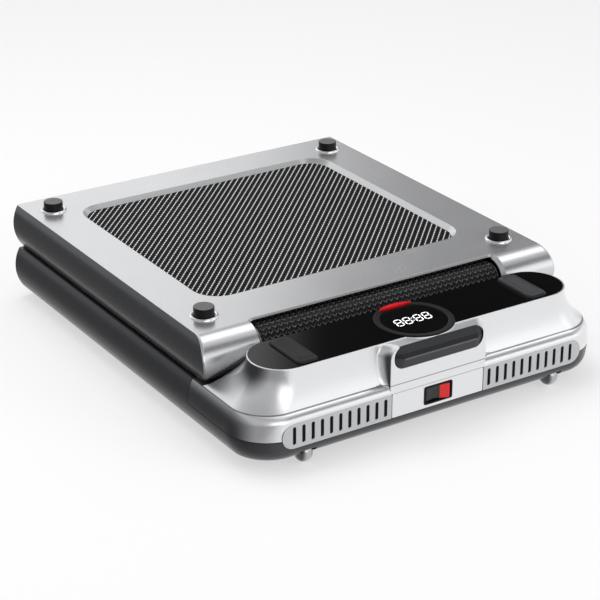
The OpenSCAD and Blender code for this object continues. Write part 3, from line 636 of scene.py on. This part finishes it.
# The second colour of each silver finish is painted shade, for faces that look sideways.
F = {
    # The plate's silver gets painted shade under its nose.
    "silver_paint": silver("satin_silver_plate", (0.63, 0.635, 0.65), (0.085, 0.087, 0.093), 0.26, shade_under_nose=True),
    # The hood's silver also gets a painted shade line along its crease at Z1.
    "silver_casing": silver("satin_silver_hood", (0.76, 0.765, 0.78), (0.075, 0.077, 0.083), 0.3, 0.85, 0.7, 0.98,
                            Z1 / 1000),
    "grille_grey": silver("satin_grille", (0.50, 0.505, 0.52), (0.3, 0.3, 0.31), 0.3),
    "dark_casing": silver("graphite_tray", (0.045, 0.046, 0.050), (0.032, 0.033, 0.037), 0.36, 0.55, 0.6, 0.95),
    "gloss_black": gloss("piano_black_console", (0.0030, 0.0030, 0.0033), 0.05, 0.04, 0.21),
    "lens_black": gloss("display_glass", (0.004, 0.004, 0.0045), 0.05, 0.04, 0.2),
    "window_black": gloss("display_window", (0.002, 0.002, 0.002), 0.04),
    "matte_black": moulded("black_plastic", (0.007, 0.007, 0.008), 0.4, 0.1),
    "rubber": foot_finish(),
    "grip_rubber": grip_finish(),
    "belt": belt_finish(),
    "mesh": screen_finish(),
    "pads": pad_finish(),
    "rocker": rocker_finish(),
    "steel": metal("brushed_steel", (0.42, 0.43, 0.45), 0.32),
    "dark_steel": metal("painted_steel", (0.10, 0.10, 0.11), 0.45),
    "chrome": metal("polished_ring", (0.86, 0.86, 0.88), 0.12),
    "wheel_grey": silver("satin_wheel", (0.42, 0.425, 0.44), (0.05, 0.052, 0.056), 0.2, 0.8, 0.2, 0.75),
    "red": gloss("red_button", (0.65, 0.006, 0.010), 0.14),
    "board_green": board_finish(),
    "wood": wood_finish(),
    "digits": digit_finish(),
}

for row in frame["record"]["subparts"]:
    node = nodes[row["node"]]
    node.data.materials.clear()
    node.data.materials.append(F[row["material_slot"]])


# ---------- walls of a half ----------
def side_u(z, inset=0.0):
    """How far the side wall bulges beyond the half width."""
    return math.sqrt((50 - inset) ** 2 - (z - 44.661) ** 2) - 50 + 7.5


def front_u(z, inset=0.0):
    """How far the front wall stands out: upright, with a round foot and a round top."""
    f, low, up = 8.5 - inset, 16.5 - inset, 10.74 - inset
    if z < Z_BAND:
        return f - low + math.sqrt(max(0.0, low * low - (Z_BAND - z) ** 2))
    if z < Z_BEND:
        return f
    return f - up + math.sqrt(max(0.0, up * up - (z - Z_BEND) ** 2))


def base_row(z, inset, y_back):
    """One level of the base's wall, from the left rear round the front to the right rear."""
    path = [(-HALF_W, y_back, -1.0, 0.0, 0.0)]
    for side in (-1, 1):
        for degrees in range(0, 91, 3):
            a = math.radians(degrees if side < 0 else 90 - degrees)
            path.append((side * (CORNER_X + CORNER_R * math.cos(a)), CORNER_Y - CORNER_R * math.sin(a),
                         side * math.cos(a), -math.sin(a), (1 - math.cos(2 * a)) / 2))
    path.append((HALF_W, y_back, 1.0, 0.0, 0.0))
    row = []
    for x, y, nx, ny, w in path:
        u = w * front_u(z, inset) + (1 - w) * side_u(z, inset)
        row.append((x + nx * u, y + ny * u, z))
    return row


def levels(a, b, step):
    n = max(1, round((b - a) / step))
    return [a + (b - a) * i / n for i in range(n + 1)]


def base_skin(inset, heights, y_back):
    return skin([base_row(z, inset, y_back) for z in heights])


def body_share(t):
    """How much of the body's outline is left at a part of the flare's height."""
    return (1 - t) ** 2.3


def flare_row(t, shrink=0.0, z=None):
    """One level of the concave flare between the body and the console."""
    front, back = (CORNER_X, CORNER_Y, CORNER_R), (241.0, 7.0, 8.0)
    loop = [(-1, a, -1, front) for a in range(0, 91, 3)] + [(1, a, -1, front) for a in range(90, -1, -3)]
    loop += [(1, a, 1, back) for a in range(15, 91, 15)] + [(-1, a, 1, back) for a in range(90, 0, -15)]
    w = body_share(t)
    row = []
    for side, a, way, (px, py, r) in loop:
        cx, cy = side * math.cos(math.radians(a)), way * math.sin(math.radians(a))
        x = w * (side * px + cx * (r - shrink)) + (1 - w) * (side * LOBE_X + cx * (LOBE_R - shrink))
        y = w * (py + cy * (r - shrink)) + (1 - w) * (CONSOLE_Y + cy * (LOBE_R - shrink))
        row.append((x, y, Z1 + (Z_CONSOLE - Z1) * t if z is None else z))
    return row


def pod_rows():
    """The pod that carries the grip, with coves that run out to the flare on both sides."""
    corner, edge, cove, half_w, top = 14.0, 1.6, 14.0, 68.5, 117.5
    shoulder, crest = top - corner, top - edge
    stations = [(z, 0.0) for z in (58, Z_BEND, 62, 64, 67, 70, 74, 80, 90, 100, shoulder)]
    stations += [(shoulder + (crest - shoulder) * math.sin(math.radians(9 * i)), 0.0) for i in range(1, 11)]
    stations += [(crest + edge * math.sin(math.radians(a)), edge * (1 - math.cos(math.radians(a))))
                 for a in (20, 40, 60, 80, 90)]
    rows = []
    for z, back in stations:
        w = body_share(max(0.0, (z - Z1) / (Z_CONSOLE - Z1)))
        body, lobe = CORNER_Y - CORNER_R, CONSOLE_Y - LOBE_R
        wall = body * w + lobe * (1 - w) if z > Z1 else body - front_u(z)
        x = half_w if z < shoulder else half_w - corner + math.sqrt(max(0.0, corner ** 2 - (z - shoulder) ** 2))
        y = Y_FRONT + back
        half = [(x - edge + edge * math.sin(math.radians(a)), y + edge - edge * math.cos(math.radians(a)))
                for a in range(0, 91, 15)]
        depth = max(0.3, wall + 1.0 - y - edge)
        half += [(x + cove * (1 - math.cos(math.radians(a))), y + edge + depth * math.sin(math.radians(a)))
                 for a in range(9, 91, 9)]
        half.append((x + cove, -70))
        rows.append([(-px, py, z) for px, py in reversed(half)] + [(px, py, z) for px, py in half])
    return rows


def wheel_well():
    """Both wells, open below the axle and round above it."""
    outline = [(WHEEL_Y - 15, 5), (WHEEL_Y + 15, 5), (WHEEL_Y + 15, WHEEL_Z)]
    outline += [polar(15, a, WHEEL_Y, WHEEL_Z) for a in range(6, 180, 6)]
    outline += [(WHEEL_Y - 15, WHEEL_Z)]
    return mirrored(crosswise(outline, WHEEL_X - 11, WHEEL_X + 11))


def front_bar(r, n=24):
    """Outline of the band in the front wall that carries the grilles and the switch."""
    return stadium(BAR_X, r, n, 0, BAR_Z)


def pad_pocket(side, za, zb):
    return upright(rounded(28.8, 68.8, 7.2, 8, side * PAD_X, CONSOLE_Y), za, zb)


def window_outline(grow, n):
    """The mesh window's outline, grown all round."""
    return rounded(384 + 2 * grow, 350 + 2 * grow, 35 + grow, n, 0, WINDOW_Y)


def window_tool():
    rows = []
    for z, grow in ((12.0, 0.9), (Z0, 0.0), (12.8, -0.5), (18.8, -6.0), (24.0, -6.1)):
        rows.append(flat(window_outline(grow, 14), z))
    return skin(rows)


def fold_tool():
    """Openings at the fold end, for the belt and for both hinges."""
    return together(block((-174, 471, 42.5), (174, 491, 122.5)),
                    mirrored(block((199, 469, 54.5), (241, 495, 92))))


# ---------- hood ----------
def hood():
    heights = levels(23, Z_BAND, 1.5) + levels(31, 59, 2) + levels(Z_BEND, Z1, 0.75)
    body = solid(base_skin(0.0, heights, Y_SPLIT - GAP))
    under = solid(block((-300, -146, 10), (300, 60, Z_SEAM + GAP)))
    cut(under, lengthwise(front_bar(15.73), -146, -113))
    cut(body, under)
    rows = [flare_row(0, 2.0, 69.5), flare_row(0)]
    rows += [flare_row(t) for t in levels(0.02, 0.3, 0.02)] + [flare_row(t) for t in levels(0.33, 0.97, 0.04)]
    rows += [flare_row(1, 0.0, 117.7), flare_row(1, 0.1, 118.1), flare_row(1, 0.35, 118.35), flare_row(1, 0.8, 118.5)]
    cut(body, skin(rows), "UNION")
    lobe = upright(circle(DISC_R + 1.1, 128, 0, DISC_Y), 80, Z_CONSOLE, 0.8)
    cut(body, lobe, "UNION")
    cut(body, skin(pod_rows()), "UNION")
    # hollow inside
    heights = levels(20, Z_BAND, 3) + levels(32, 59, 4) + levels(Z_BEND, 68, 1.5)
    inner = solid(base_skin(3.0, heights, Y_SPLIT + 1))
    cut(inner, block((-80, -150, 0), (80, -121, 100)))
    cut(inner, upright(stadium(LOBE_X, 36.0, 24, 0, CONSOLE_Y), 59, 113), "UNION")
    cut(inner, crosswise(circle(37, 96, NOSE_Y, CRADLE_Z), -300, 300))
    cut(body, inner)
    # cradle of the nose above it, and the pockets of the console, pads, grip, grilles and switch
    cradle = solid(crosswise(circle(34, 144, NOSE_Y, CRADLE_Z), -300, 300))
    cut(cradle, block((-301, -60, Z1), (301, 60, 191)), "INTERSECT")
    cut(body, cradle)
    cut(body, upright(stadium(181.2, 37.6, 32, 0, CONSOLE_Y), 116.5, 121))
    cut(body, upright(circle(DISC_R + 0.05, 128, 0, DISC_Y), 115, 121))
    for s in (-1, 1):
        cut(body, pad_pocket(s, 105, 121))
    cut(body, lengthwise(rounded(127.4, 29, 13.1, 10, 0, 104.2), -140, -123.4))
    cut(body, lengthwise(front_bar(15.76), -130, -124))
    for s in (-1, 1):
        window = solid(lengthwise(front_bar(12), -128, -113))
        cut(window, block((-70, -140, 0), (70, -100, 100)))
        cut(window, block((min(0, -s * 300), -140, 0), (max(0, -s * 300), -100, 100)))
        cut(body, window)
    cut(body, block((-22, -128, 33), (22, -105, 57)))
    cut(body, block(*INLET))
    settle(body, "hood_shell", "base", ("hood_cover",), "silver_casing", 34)


hood()


# ---------- tray ----------
def tray():
    heights = levels(Z0, Z_BAND, 1.1) + levels(31, 59, 3) + levels(Z_BEND, Z1, 1.5)
    body = solid(base_skin(0.0, heights, Y_END))
    soften(body, 0.9, lambda p: p.z < 12.6 and p.y < 480 or p.y > 480.5, 3)
    heights = levels(15, Z_BAND, 3) + levels(35, 59, 6) + levels(Z_BEND, 72, 2.8)
    inner = solid(base_skin(3.0, heights, Y_END - 3))
    cut(inner, upright(window_outline(3, 8), 10, 18.7))
    cut(inner, mirrored(block((WHEEL_X - 13.5, -130, 0), (WHEEL_X + 13.5, -93.5, 31.8))))
    cut(body, inner)
    cut(body, block((-300, -146, Z_SEAM - GAP), (300, Y_SPLIT + GAP, 100)))
    cut(body, lengthwise(front_bar(15.76), -146, -113))
    cut(body, block(*INLET))
    cut(body, wheel_well())
    cut(body, window_tool())
    cut(body, fold_tool())
    settle(body, "tray_shell", "base", ("base_tray",), "dark_casing", 34)


tray()


# ---------- rear half, drawn with its plate down and then turned over ----------
def rear_row(z, inset=0.0, nose=NOSE_R, back=Y_END, r=1.3):
    x = 206.5 + math.sqrt((50 - inset) ** 2 - (z - 38.84) ** 2)
    y = NOSE_Y - math.sqrt(max(0.0, nose * nose - (z - ROLLER_Z) ** 2))
    return [(px, py, z) for px, py in rounded(2 * x, back - y, r, 4, 0, (back + y) / 2)]


def nose_levels(r, lowest, highest, n=44):
    heights = [ROLLER_Z - r * math.cos(math.pi * i / n) for i in range(n + 1)]
    return [z for z in heights if lowest <= z <= highest]


def rear_shell():
    body = solid(skin([rear_row(z, r=3.0) for z in nose_levels(NOSE_R, Z0, Z1 + 0.001)]))
    soften(body, 0.9, lambda p: p.z < 12.6 and p.y > 6, 3)
    soften(body, 0.7, lambda p: p.z > 70.9, 2)
    inner = solid(skin([rear_row(z, 3.0, 26.75, Y_END - 3) for z in
                                        [15.0] + nose_levels(26.75, 15.01, 68.4, 24) + [68.5, 72.0]]))
    cut(inner, upright(window_outline(3, 8), 10, 18.7))
    cheek = [polar(28.25, a, NOSE_Y, ROLLER_Z) for a in range(90, 271, 6)]
    cheek += [polar(22.3, a, NOSE_Y, ROLLER_Z) for a in range(270, 89, -6)]
    cut(inner, mirrored(crosswise(cheek, 175.4, 179.6)))
    cut(body, inner)
    # notch that shows the belt on its roller, with a sloping rim
    flare = solid(turned([(0, -175.5), (24.2, -175.5), (31.2, -180.9), (31.2, 180.9), (24.2, 175.5), (0, 175.5)],
                         (0, NOSE_Y, ROLLER_Z), "X", 96))
    cut(flare, block((-200, 4.9, 0), (200, 80, 100)))
    cut(body, flare)
    slope = []
    for z, grow, y in ((11.5, 4.9, 9.6), (12.5, 4.1, 8.6), (13.1, 3.5, 7.9), (18.6, 0.0, 3.2), (22.0, 0.0, 2.6)):
        slope.append(flat(rounded(351 + 2 * grow, y + 60, 5.5 + grow * 0.5, 6, 0, (y - 60) / 2), z))
    cut(body, skin(slope))
    cut(body, block((-175.5, NOSE_Y - 2, 31.75), (175.5, 11.25, 80)))
    cut(body, window_tool())
    cut(body, fold_tool())
    settle(body, "rear_plate", "rear_deck", ("rear_frame",), "silver_paint", 34, True)


rear_shell()


# ---------- console ----------
def console():
    top = [(x, CONSOLE_Y + y + 1.8 * max(0.0, y / 37.5) ** 0.6) for x, y in stadium(181.15, 37.5, 40)]
    plate = solid(upright(top, 116.5, Z_CONSOLE + 0.12, 0.3))
    cut(plate, upright(circle(DISC_R + 0.1, 128, 0, DISC_Y), 110, 122))
    for s in (-1, 1):
        cut(plate, pad_pocket(s, 110, 122))
    cut(plate, upright(rounded(5, 40, 2.4, 6, 184.5, CONSOLE_Y), 110, 122))
    soften(plate, 0.25, lambda p: p.z > 118.4 and (abs(p.x) < 49 or 149 < abs(p.x) < 180), 2)
    settle(plate, "console_top", "base", ("console_plate",), "gloss_black")
    ring = solid(turned([(38.2, 115), (48.15, 115), (48.15, 119.3), (47.9, 119.7), (47.4, 120.0), (46.6, 120.1),
                   (41.3, 119.75), (40.7, 119.6), (40.3, 119.2), (40.2, 117.4), (38.2, 117.4), (38.2, 115)],
                        (0, DISC_Y, 0), steps=128))
    cut(ring, upright(button_outline(BUTTON_Y, 0.35), 117, 125))
    cut(ring, upright(button_outline(FLANGE_Y, 0.35), 110, 118.3))
    settle(ring, "display_ring", "base", ("display_bezel",), "matte_black")
    lens = upright(circle(40.15, 144, 0, DISC_Y), 118.4, 119.1, 0.25)
    backing = [(x, DISC_Y + y) for x, y in circle(38.1, 144) if y <= 32]
    settle(together(lens, upright(backing, 116.5, 118.3)), "display_cover", "base",
           ("display_lens",), "lens_black")
    # black window with the digits on it
    window = [(-35.2, 13.4)]
    window += [(-35.2 + 4.4 * i / 6, -1.5 - 10.5 * (i / 6) ** 0.8) for i in range(0, 7)]
    window += [(30.8 + 4.4 * i / 6, -12.0 + 10.5 * (i / 6) ** 1.25) for i in range(0, 7)] + [(35.2, 13.4)]
    glass = upright([(x, DISC_Y + y) for x, y in window], 119.0, 119.16, 0.05)
    settle(glass, "display_window", "base", (), "lens_black", finish="window_black")
    settle(digits(), "display_digits", "base", (), "lens_black", weight=False, finish="digits")


def button_outline(chord, grow=0.0):
    """The slice of the disc behind a chord."""
    r = DISC_R - 3.3 + grow
    a = math.asin((chord - grow) / r)
    return [(r * math.cos(a + (math.pi - 2 * a) * i / 40), DISC_Y + r * math.sin(a + (math.pi - 2 * a) * i / 40))
            for i in range(41)]


def digits():
    """Four slanted eights of seven bars each, with a colon."""
    parts = []
    slant, w, h, t = 0.15, 8.4, 8.0, 1.5
    centre = DISC_Y + 0.7
    bars = [(0, h, "across"), (0, 0, "across"), (0, -h, "across"), (-w / 2, h / 2, "down"), (w / 2, h / 2, "down"),
            (-w / 2, -h / 2, "down"), (w / 2, -h / 2, "down")]
    for x0 in (-21.0, -8.6, 6.4, 18.8):
        for bx, by, way in bars:
            half = (w / 2 - 0.75) if way == "across" else (h / 2 - 0.75)
            outline = [(-half, 0), (-half + t / 2, -t / 2), (half - t / 2, -t / 2), (half, 0),
                       (half - t / 2, t / 2), (-half + t / 2, t / 2)]
            if way == "down":
                outline = [(-q, p) for p, q in outline]
            placed = [(x0 + bx + p + slant * (by + q), centre + by + q) for p, q in outline]
            parts.append(upright(placed, 119.15, 119.22))
    for y in (-3.4, 3.4):
        parts.append(upright([(-1.3 + slant * y + p, centre + y + q) for p, q in circle(0.85, 12)], 119.15, 119.22))
    return together(*parts)


console()


def top_button():
    cap = upright(button_outline(BUTTON_Y), 117.0, 121.7, 1.2, 0.0, 5)
    flange = upright(button_outline(FLANGE_Y, -0.2), 116.8, 117.9, 0.2)
    stem = block((-3, DISC_Y + 34, 112.8), (3, DISC_Y + 36.5, 117.8), 0.3)
    settle(together(cap, flange, stem), "mode_button_cap", "mode_button", ("mode_button",), "red")


top_button()


def pad(side, name, body, node, dished):
    """Raised side pad: a rounded bar with a dotted crown, or a rim round a dished panel."""
    rows = []
    sizes = [(114.5, 28, 68, 7), (119.2, 28, 68, 7), (120.0, 27.7, 67.7, 7), (121.0, 26.4, 66.2, 6.8),
             (121.9, 24.2, 63.8, 6.4), (122.6, 21.8, 61.0, 6.0), (123.1, 19.4, 58.2, 5.4), (123.4, 17.4, 55.6, 4.8)]
    if dished:
        sizes[-1] = (123.4, 18.2, 56.6, 5.0)
        sizes += [(123.35, 17.2, 55.6, 4.8), (122.5, 15.4, 53.4, 4.2)]
    for z, w, l, r in sizes:
        rows.append(flat(rounded(w, l, r, 8, side * PAD_X, CONSOLE_Y), z))
    settle(skin(rows), name, body, (node,), "grip_rubber", finish="pads")


pad(-1, "side_pad_left", "key_left", "speed_key_left", False)
pad(1, "side_pad_right", "key_right", "speed_key_right", True)


settle(upright(rounded(4.9, 39.9, 2.35, 8, 184.5, CONSOLE_Y), 116.5, 117.9, 0.3), "receiver_cover", "base",
       ("receiver_window",), "lens_black")


# ---------- front ----------
def grip():
    profile = [(-123.4, -14.2), (-125.6, -14.2), (-126.3, -13.9), (-126.8, -13.2), (-130.1, -2.6), (-130.5, -1.8),
               (-130.5, -0.9), (-130.1, -0.2), (-128.6, 5.2), (-128.3, 6.2), (-125.2, 12.6), (-124.6, 13.3),
               (-123.4, 13.6)]
    rows = []
    stations = [63.5 * math.sin(math.radians(a)) for a in (90, 85, 80, 75, 70, 65, 60)] + [53.4, 52.6, 40, 20]
    for x in sorted([-x for x in stations] + [0.0] + stations):
        d = max(0.0, abs(x) - 50.5)
        scale = (14.3 - 13 + math.sqrt(max(0.0, 13 * 13 - d * d))) / 14.3
        lift = 1.0 - 0.86 * max(0.0, abs(x) - 53.0) / 10.5
        rows.append([(x, -123.4 + (y + 123.4) * lift, 104.2 + z * scale) for y, z in profile])
    settle(skin(rows), "grip_bar", "base", ("front_grip",), "grip_rubber", 24)


grip()


def grille(side, name, node):
    plate = solid(lengthwise(front_bar(15.65, 32), Y_FRONT, Y_FRONT + 2, 0.35, 2))
    left, right = (66.3, 240) if side > 0 else (-240, -66.3)
    cut(plate, block((left, -130, 20), (right, -120, 70)), "INTERSECT")
    for i in range(11):
        x = side * (74.7 + 12.43 * i)
        rows = []
        for y, grow in ((-127.0, 1.2), (-126.0, 0.9), (-125.3, 0.05), (-125.0, 0.0), (-123.0, 0.0)):
            rows.append([(px, y, pz) for px, pz in
                         rounded(4 + 0.5 * grow, 22.4 + 1.4 * grow, 1.95 + 0.2 * grow, 6, x, 45 - 0.6 * grow)])
        cut(plate, skin(rows))
    settle(plate, name, "base", (node,), "grille_grey", 30)


grille(-1, "slotted_grille_left", "vent_grille_left")
grille(1, "slotted_grille_right", "vent_grille_right")


# black sheets behind the slots, painted shade standing for the dark inside of the hood
shade_sheets = [block((left, -123.9, 33.5), (right, -122.9, 56), 0.2) for left, right in ((-208, -70.5), (70.5, 208))]
settle(together(*shade_sheets), "slot_shade_sheet", "base", (), "matte_black")


def switch():
    cover = solid(lengthwise(rounded(131.0, 30.6, 1.4, 4, 0, BAR_Z), Y_FRONT, Y_FRONT + 2, 0.3, 2))
    cut(cover, lengthwise(rounded(40.9, 23.6, 2.6, 6, 0, 45), -130, -120))
    settle(cover, "switch_cover", "base", ("switch_cover_plate",), "silver_casing", 30)
    rim = solid(lengthwise(rounded(40.6, 23.3, 2.5, 8, 0, 45), Y_FRONT - 1, Y_FRONT + 2, 0.5, 3))
    cut(rim, lengthwise(rounded(39, 22, 2, 6, 0, 45), Y_FRONT + 1, Y_FRONT + 24), "UNION")
    cut(rim, lengthwise(rounded(35, 19.4, 1, 4, 0, 45), Y_FRONT - 3, Y_FRONT + 18))
    settle(rim, "switch_rim", "base", ("switch_bezel",), "matte_black")
    outline = [(-16.1, -9.4), (-13.5, -9.3), (-7, -7.6), (0, -6.9), (0.6, -6.9), (7, -7.6), (13.5, -9.3), (16.1, -9.4),
               (15.5, -2), (6, 5), (-6, 5), (-15.5, -2)]
    paddle = upright(outline, -9.3, 9.3, 0.6, 0.6, 3)
    bmesh.ops.rotate(paddle, verts=paddle.verts[:], cent=(0, 0, 0), matrix=Matrix.Rotation(math.radians(-7), 3, "Z"))
    bmesh.ops.translate(paddle, verts=paddle.verts[:], vec=(0, Y_FRONT + 9, 45))
    settle(paddle, "rocker_paddle", "power_rocker", ("rocker",), "red", 20, finish="rocker")


switch()


def wheels():
    crown = [(13.5 * math.cos(math.radians(a)) ** 0.75, 10 * math.sin(math.radians(a))) for a in range(-78, 79, 6)]
    profile = [(3.05, -10), (3.9, -10)] + crown + [(3.9, 10), (3.05, 10), (3.05, -10)]
    for s, side in ((-1, "left"), (1, "right")):
        bm = turned(profile, (s * WHEEL_X, WHEEL_Y, WHEEL_Z), "X", 64)
        settle(bm, "roller_wheel_" + side, "wheel_" + side, ("transport_wheel_" + side,),
               "wheel_grey", 40)


wheels()


# ---------- feet, belts and mesh panels of both halves ----------
def at_feet(profile, steps):
    """A turned piece at each of a half's four feet."""
    return together(*(turned(profile, (s * FOOT_X, y, 0), steps=steps) for s in (-1, 1) for y in FOOT_Y))


def belt_line(r, end):
    """One face of a belt run: along the top, round the roller and back below."""
    line = [(481.0, ROLLER_Z + r)] + [(y, ROLLER_Z + r) for y in levels(471, NOSE_Y, 12)]
    line += [polar(r, a, NOSE_Y, ROLLER_Z) for a in range(94, 270, 4)]
    return line + [(y, ROLLER_Z - r) for y in levels(NOSE_Y, 445.0, 12)] + [(481.0, end)]


def strip(line, inner, half):
    """A belt of two matching lines drawn across the pad, with its run in a UV map."""
    run = [0.0]
    for a, b in zip(line, line[1:]):
        run.append(run[-1] + math.hypot(b[0] - a[0], b[1] - a[1]))
    bm = bmesh.new()
    layer = bm.loops.layers.uv.new("run")
    outer = [bm.verts.new((-half, y, z)) for y, z in line]
    under = [bm.verts.new((-half, y, z)) for y, z in inner]
    place = {}
    for i, pair in enumerate(zip(outer, under)):
        for v in pair:
            place[(round(v.co.y, 3), round(v.co.z, 3))] = run[i]
    for i in range(len(line) - 1):
        bm.faces.new((outer[i], outer[i + 1], under[i + 1], under[i]))
    out = bmesh.ops.extrude_face_region(bm, geom=bm.faces[:])["geom"]
    bmesh.ops.translate(bm, verts=[g for g in out if isinstance(g, bmesh.types.BMVert)], vec=(2 * half, 0, 0))
    outward(bm)
    for f in bm.faces:
        for loop in f.loops:
            p = loop.vert.co
            loop[layer].uv = (p.x / 1000, place[(round(p.y, 3), round(p.z, 3))] / 1000)
    return bm


foot = [(0, 0), (6.0, 0), (11.6, 0.0), (12.1, 0.15), (12.4, 0.45), (12.5, 0.9), (12.5, 7.0), (12.35, 7.8),
        (12.5, 8.6), (12.5, 12.4), (0, 12.4)]
collar = [(12.7, 0.2), (12.9, -0.9), (13.6, -1.7), (14.6, -2.15), (15.4, -2.2), (16.2, -1.9), (16.8, -1.2),
          (17.1, -0.4), (17.15, 0.2), (12.7, 0.2)]
for word, half, body, over in (("upper", "rear", "rear_deck", True), ("lower", "base", "base", False)):
    settle(at_feet(foot, 64), word + "_feet", body, (half + "_feet",), "rubber", 30, over)
    settle(at_feet([(r, Z0 + z) for r, z in collar], 72), word + "_foot_rings", body, (half + "_foot_rings",),
           "chrome", 50, over)
    settle(strip(belt_line(21.75, 44.75), belt_line(21.75 - BELT, 44.75 + BELT), BELT_HALF), word + "_belt", body,
           (half + "_belt",), "belt", 40, over, False)
    settle(upright(rounded(387.5, 353.5, 36.7, 12, 0, WINDOW_Y), 18.7, 19.7, 0.2, 0.2, 2), word + "_mesh_panel",
           body, (half + "_window_panel",), "mesh", 30, over)


def loop_line(r):
    """One face of a belt loop round the fold."""
    return [(481.0, FOLD_Z - r)] + [polar(r, a, FOLD_Y, FOLD_Z) for a in range(-90, 91, 5)] + [(481.0, FOLD_Z + r)]


for name, r, node in (("fold_loop_wide", 27.5, "fold_loop_outer"), ("fold_loop_tight", 10.35, "fold_loop_inner")):
    piece = settle(strip(loop_line(r), loop_line(r - BELT), BELT_HALF), name, None, (), "belt", 40, weight=False)
    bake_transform(piece)
    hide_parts(node)


# ---------- studio ----------
def floor():
    """Matt for light, white to the camera, and a glow for reflections that is darker on the left."""
    bm = bmesh.new()
    bmesh.ops.create_grid(bm, x_segments=2, y_segments=2, size=8.0)
    obj = solid(bm, "floor")
    material = bpy.data.materials.new("studio_floor")
    obj.data.materials.append(material)
    b = cleared(material)
    out = b.add("ShaderNodeOutputMaterial")
    path = b.add("ShaderNodeLightPath").outputs
    matt = b.add("ShaderNodeBsdfDiffuse")
    matt.inputs["Color"].default_value = (0.86, 0.86, 0.86, 1)
    glow = b.add("ShaderNodeEmission")
    card = b.band(b.axes()[0], -0.31, -0.2, 0.22, 1.0)
    in_view = b.math("MAXIMUM", path["Is Camera Ray"], path["Is Transmission Ray"])
    b.wire(b.math("MAXIMUM", card, in_view), glow.inputs["Strength"])
    seen = b.math("MAXIMUM", b.times(path["Is Camera Ray"], 0.55),
                  b.math("MAXIMUM", path["Is Glossy Ray"], path["Is Transmission Ray"]))
    b.wire(b.blend(seen, matt.outputs[0], glow.outputs[0]), out.inputs[0])


floor()


def lamp(name, at, look_at, size_x, size_y, power):
    light = bpy.data.lights.new(name, "AREA")
    light.shape, light.size, light.size_y, light.energy = "RECTANGLE", size_x, size_y, power
    obj = bpy.data.objects.new(name, light)
    obj.location = at
    obj.rotation_euler = (Vector(look_at) - Vector(at)).to_track_quat("-Z", "Y").to_euler()
    obj.visible_glossy = False
    bpy.context.scene.collection.objects.link(obj)


lamp("overhead_box", (-0.3, 0.5, 2.2), (0, 0, 0), 1.6, 1.2, 24)
lamp("front_box", (1.1, -2.2, 1.2), (0, -0.2, 0.1), 1.4, 0.8, 16)
lamp("left_strip", (-2.2, 0.6, 1.0), (0, 0, 0.1), 0.35, 1.8, 9)


def studio_world():
    """White behind the object; a soft grey room for its light; bright and dark walls for its reflections."""
    world = bpy.data.worlds.new("studio")
    bpy.context.scene.world = world
    b = cleared(world)
    out = b.add("ShaderNodeOutputWorld")
    path = b.add("ShaderNodeLightPath").outputs
    way = b.add("ShaderNodeTexCoord").outputs["Generated"]
    x, y, height = b.axes(way)
    turn = b.math("ARCTAN2", x, y)

    def patch(azimuth, elevation, inner, outer):
        """1 within inner degrees of a direction, 0 beyond outer degrees."""
        a, e = math.radians(azimuth), math.radians(elevation)
        dot = b.add("ShaderNodeVectorMath", operation="DOT_PRODUCT")
        b.wire(way, dot.inputs[0])
        dot.inputs[1].default_value = (math.sin(a) * math.cos(e), math.cos(a) * math.cos(e), math.sin(e))
        return b.band(dot.outputs["Value"], math.cos(math.radians(outer)), math.cos(math.radians(inner)))

    def between(mask, first, second):
        return b.plus(b.times(first, b.minus(1.0, mask)), b.times(second, mask))

    def shade(strength):
        node = b.add("ShaderNodeBackground")
        node.inputs["Color"].default_value = (1, 1, 1, 1)
        b.feed(node.inputs["Strength"], strength)
        return node.outputs[0]

    rear = b.band(turn, 0.52, 0.64, 1.12, 0.34)
    front = between(b.band(height, 0.3, 0.55), 1.12, 0.42)
    wall = between(b.band(turn, 0.95, 1.5), rear, front)
    level = between(b.band(height, 0.66, 0.85), wall, 0.8)
    level = b.times(level, b.band(turn, -0.85, -0.3, 0.42, 1.0))
    for *spot, gain in ((72, 58, 8, 20, 1.4), (-173, 10, 12, 28, 1.5), (134, 8, 8, 20, 0.4)):
        level = b.plus(level, b.times(patch(*spot), gain))
    flag = b.times(b.band(turn, 0.54, 0.585), b.band(turn, 0.78, 0.9, 1.0, 0.0),
                   b.band(height, 0.365, 0.39), b.band(height, 0.46, 0.49, 1.0, 0.0))
    for dark, share in ((flag, 0.93), (patch(141, 39, 6, 16), 0.85)):
        level = b.times(level, b.minus(1.0, b.times(dark, share)))
    lit = b.blend(path["Is Glossy Ray"], shade(0.62), shade(level))
    b.wire(b.blend(path["Is Camera Ray"], lit, shade(1.0)), out.inputs[0])


studio_world()

scene = bpy.context.scene
scene.view_settings.view_transform = "Standard"
camera_data = bpy.data.cameras.new("camera")
camera_data.lens = 116.08
camera_data.sensor_width = 36.0
camera_data.clip_start, camera_data.clip_end = 0.05, 50.0
camera = bpy.data.objects.new("camera", camera_data)
camera.location = (-1.22395, -1.92351, 1.07602)
camera.rotation_euler = (math.radians(65.629), 0.0, math.radians(-32.691))
scene.collection.objects.link(camera)
scene.camera = camera
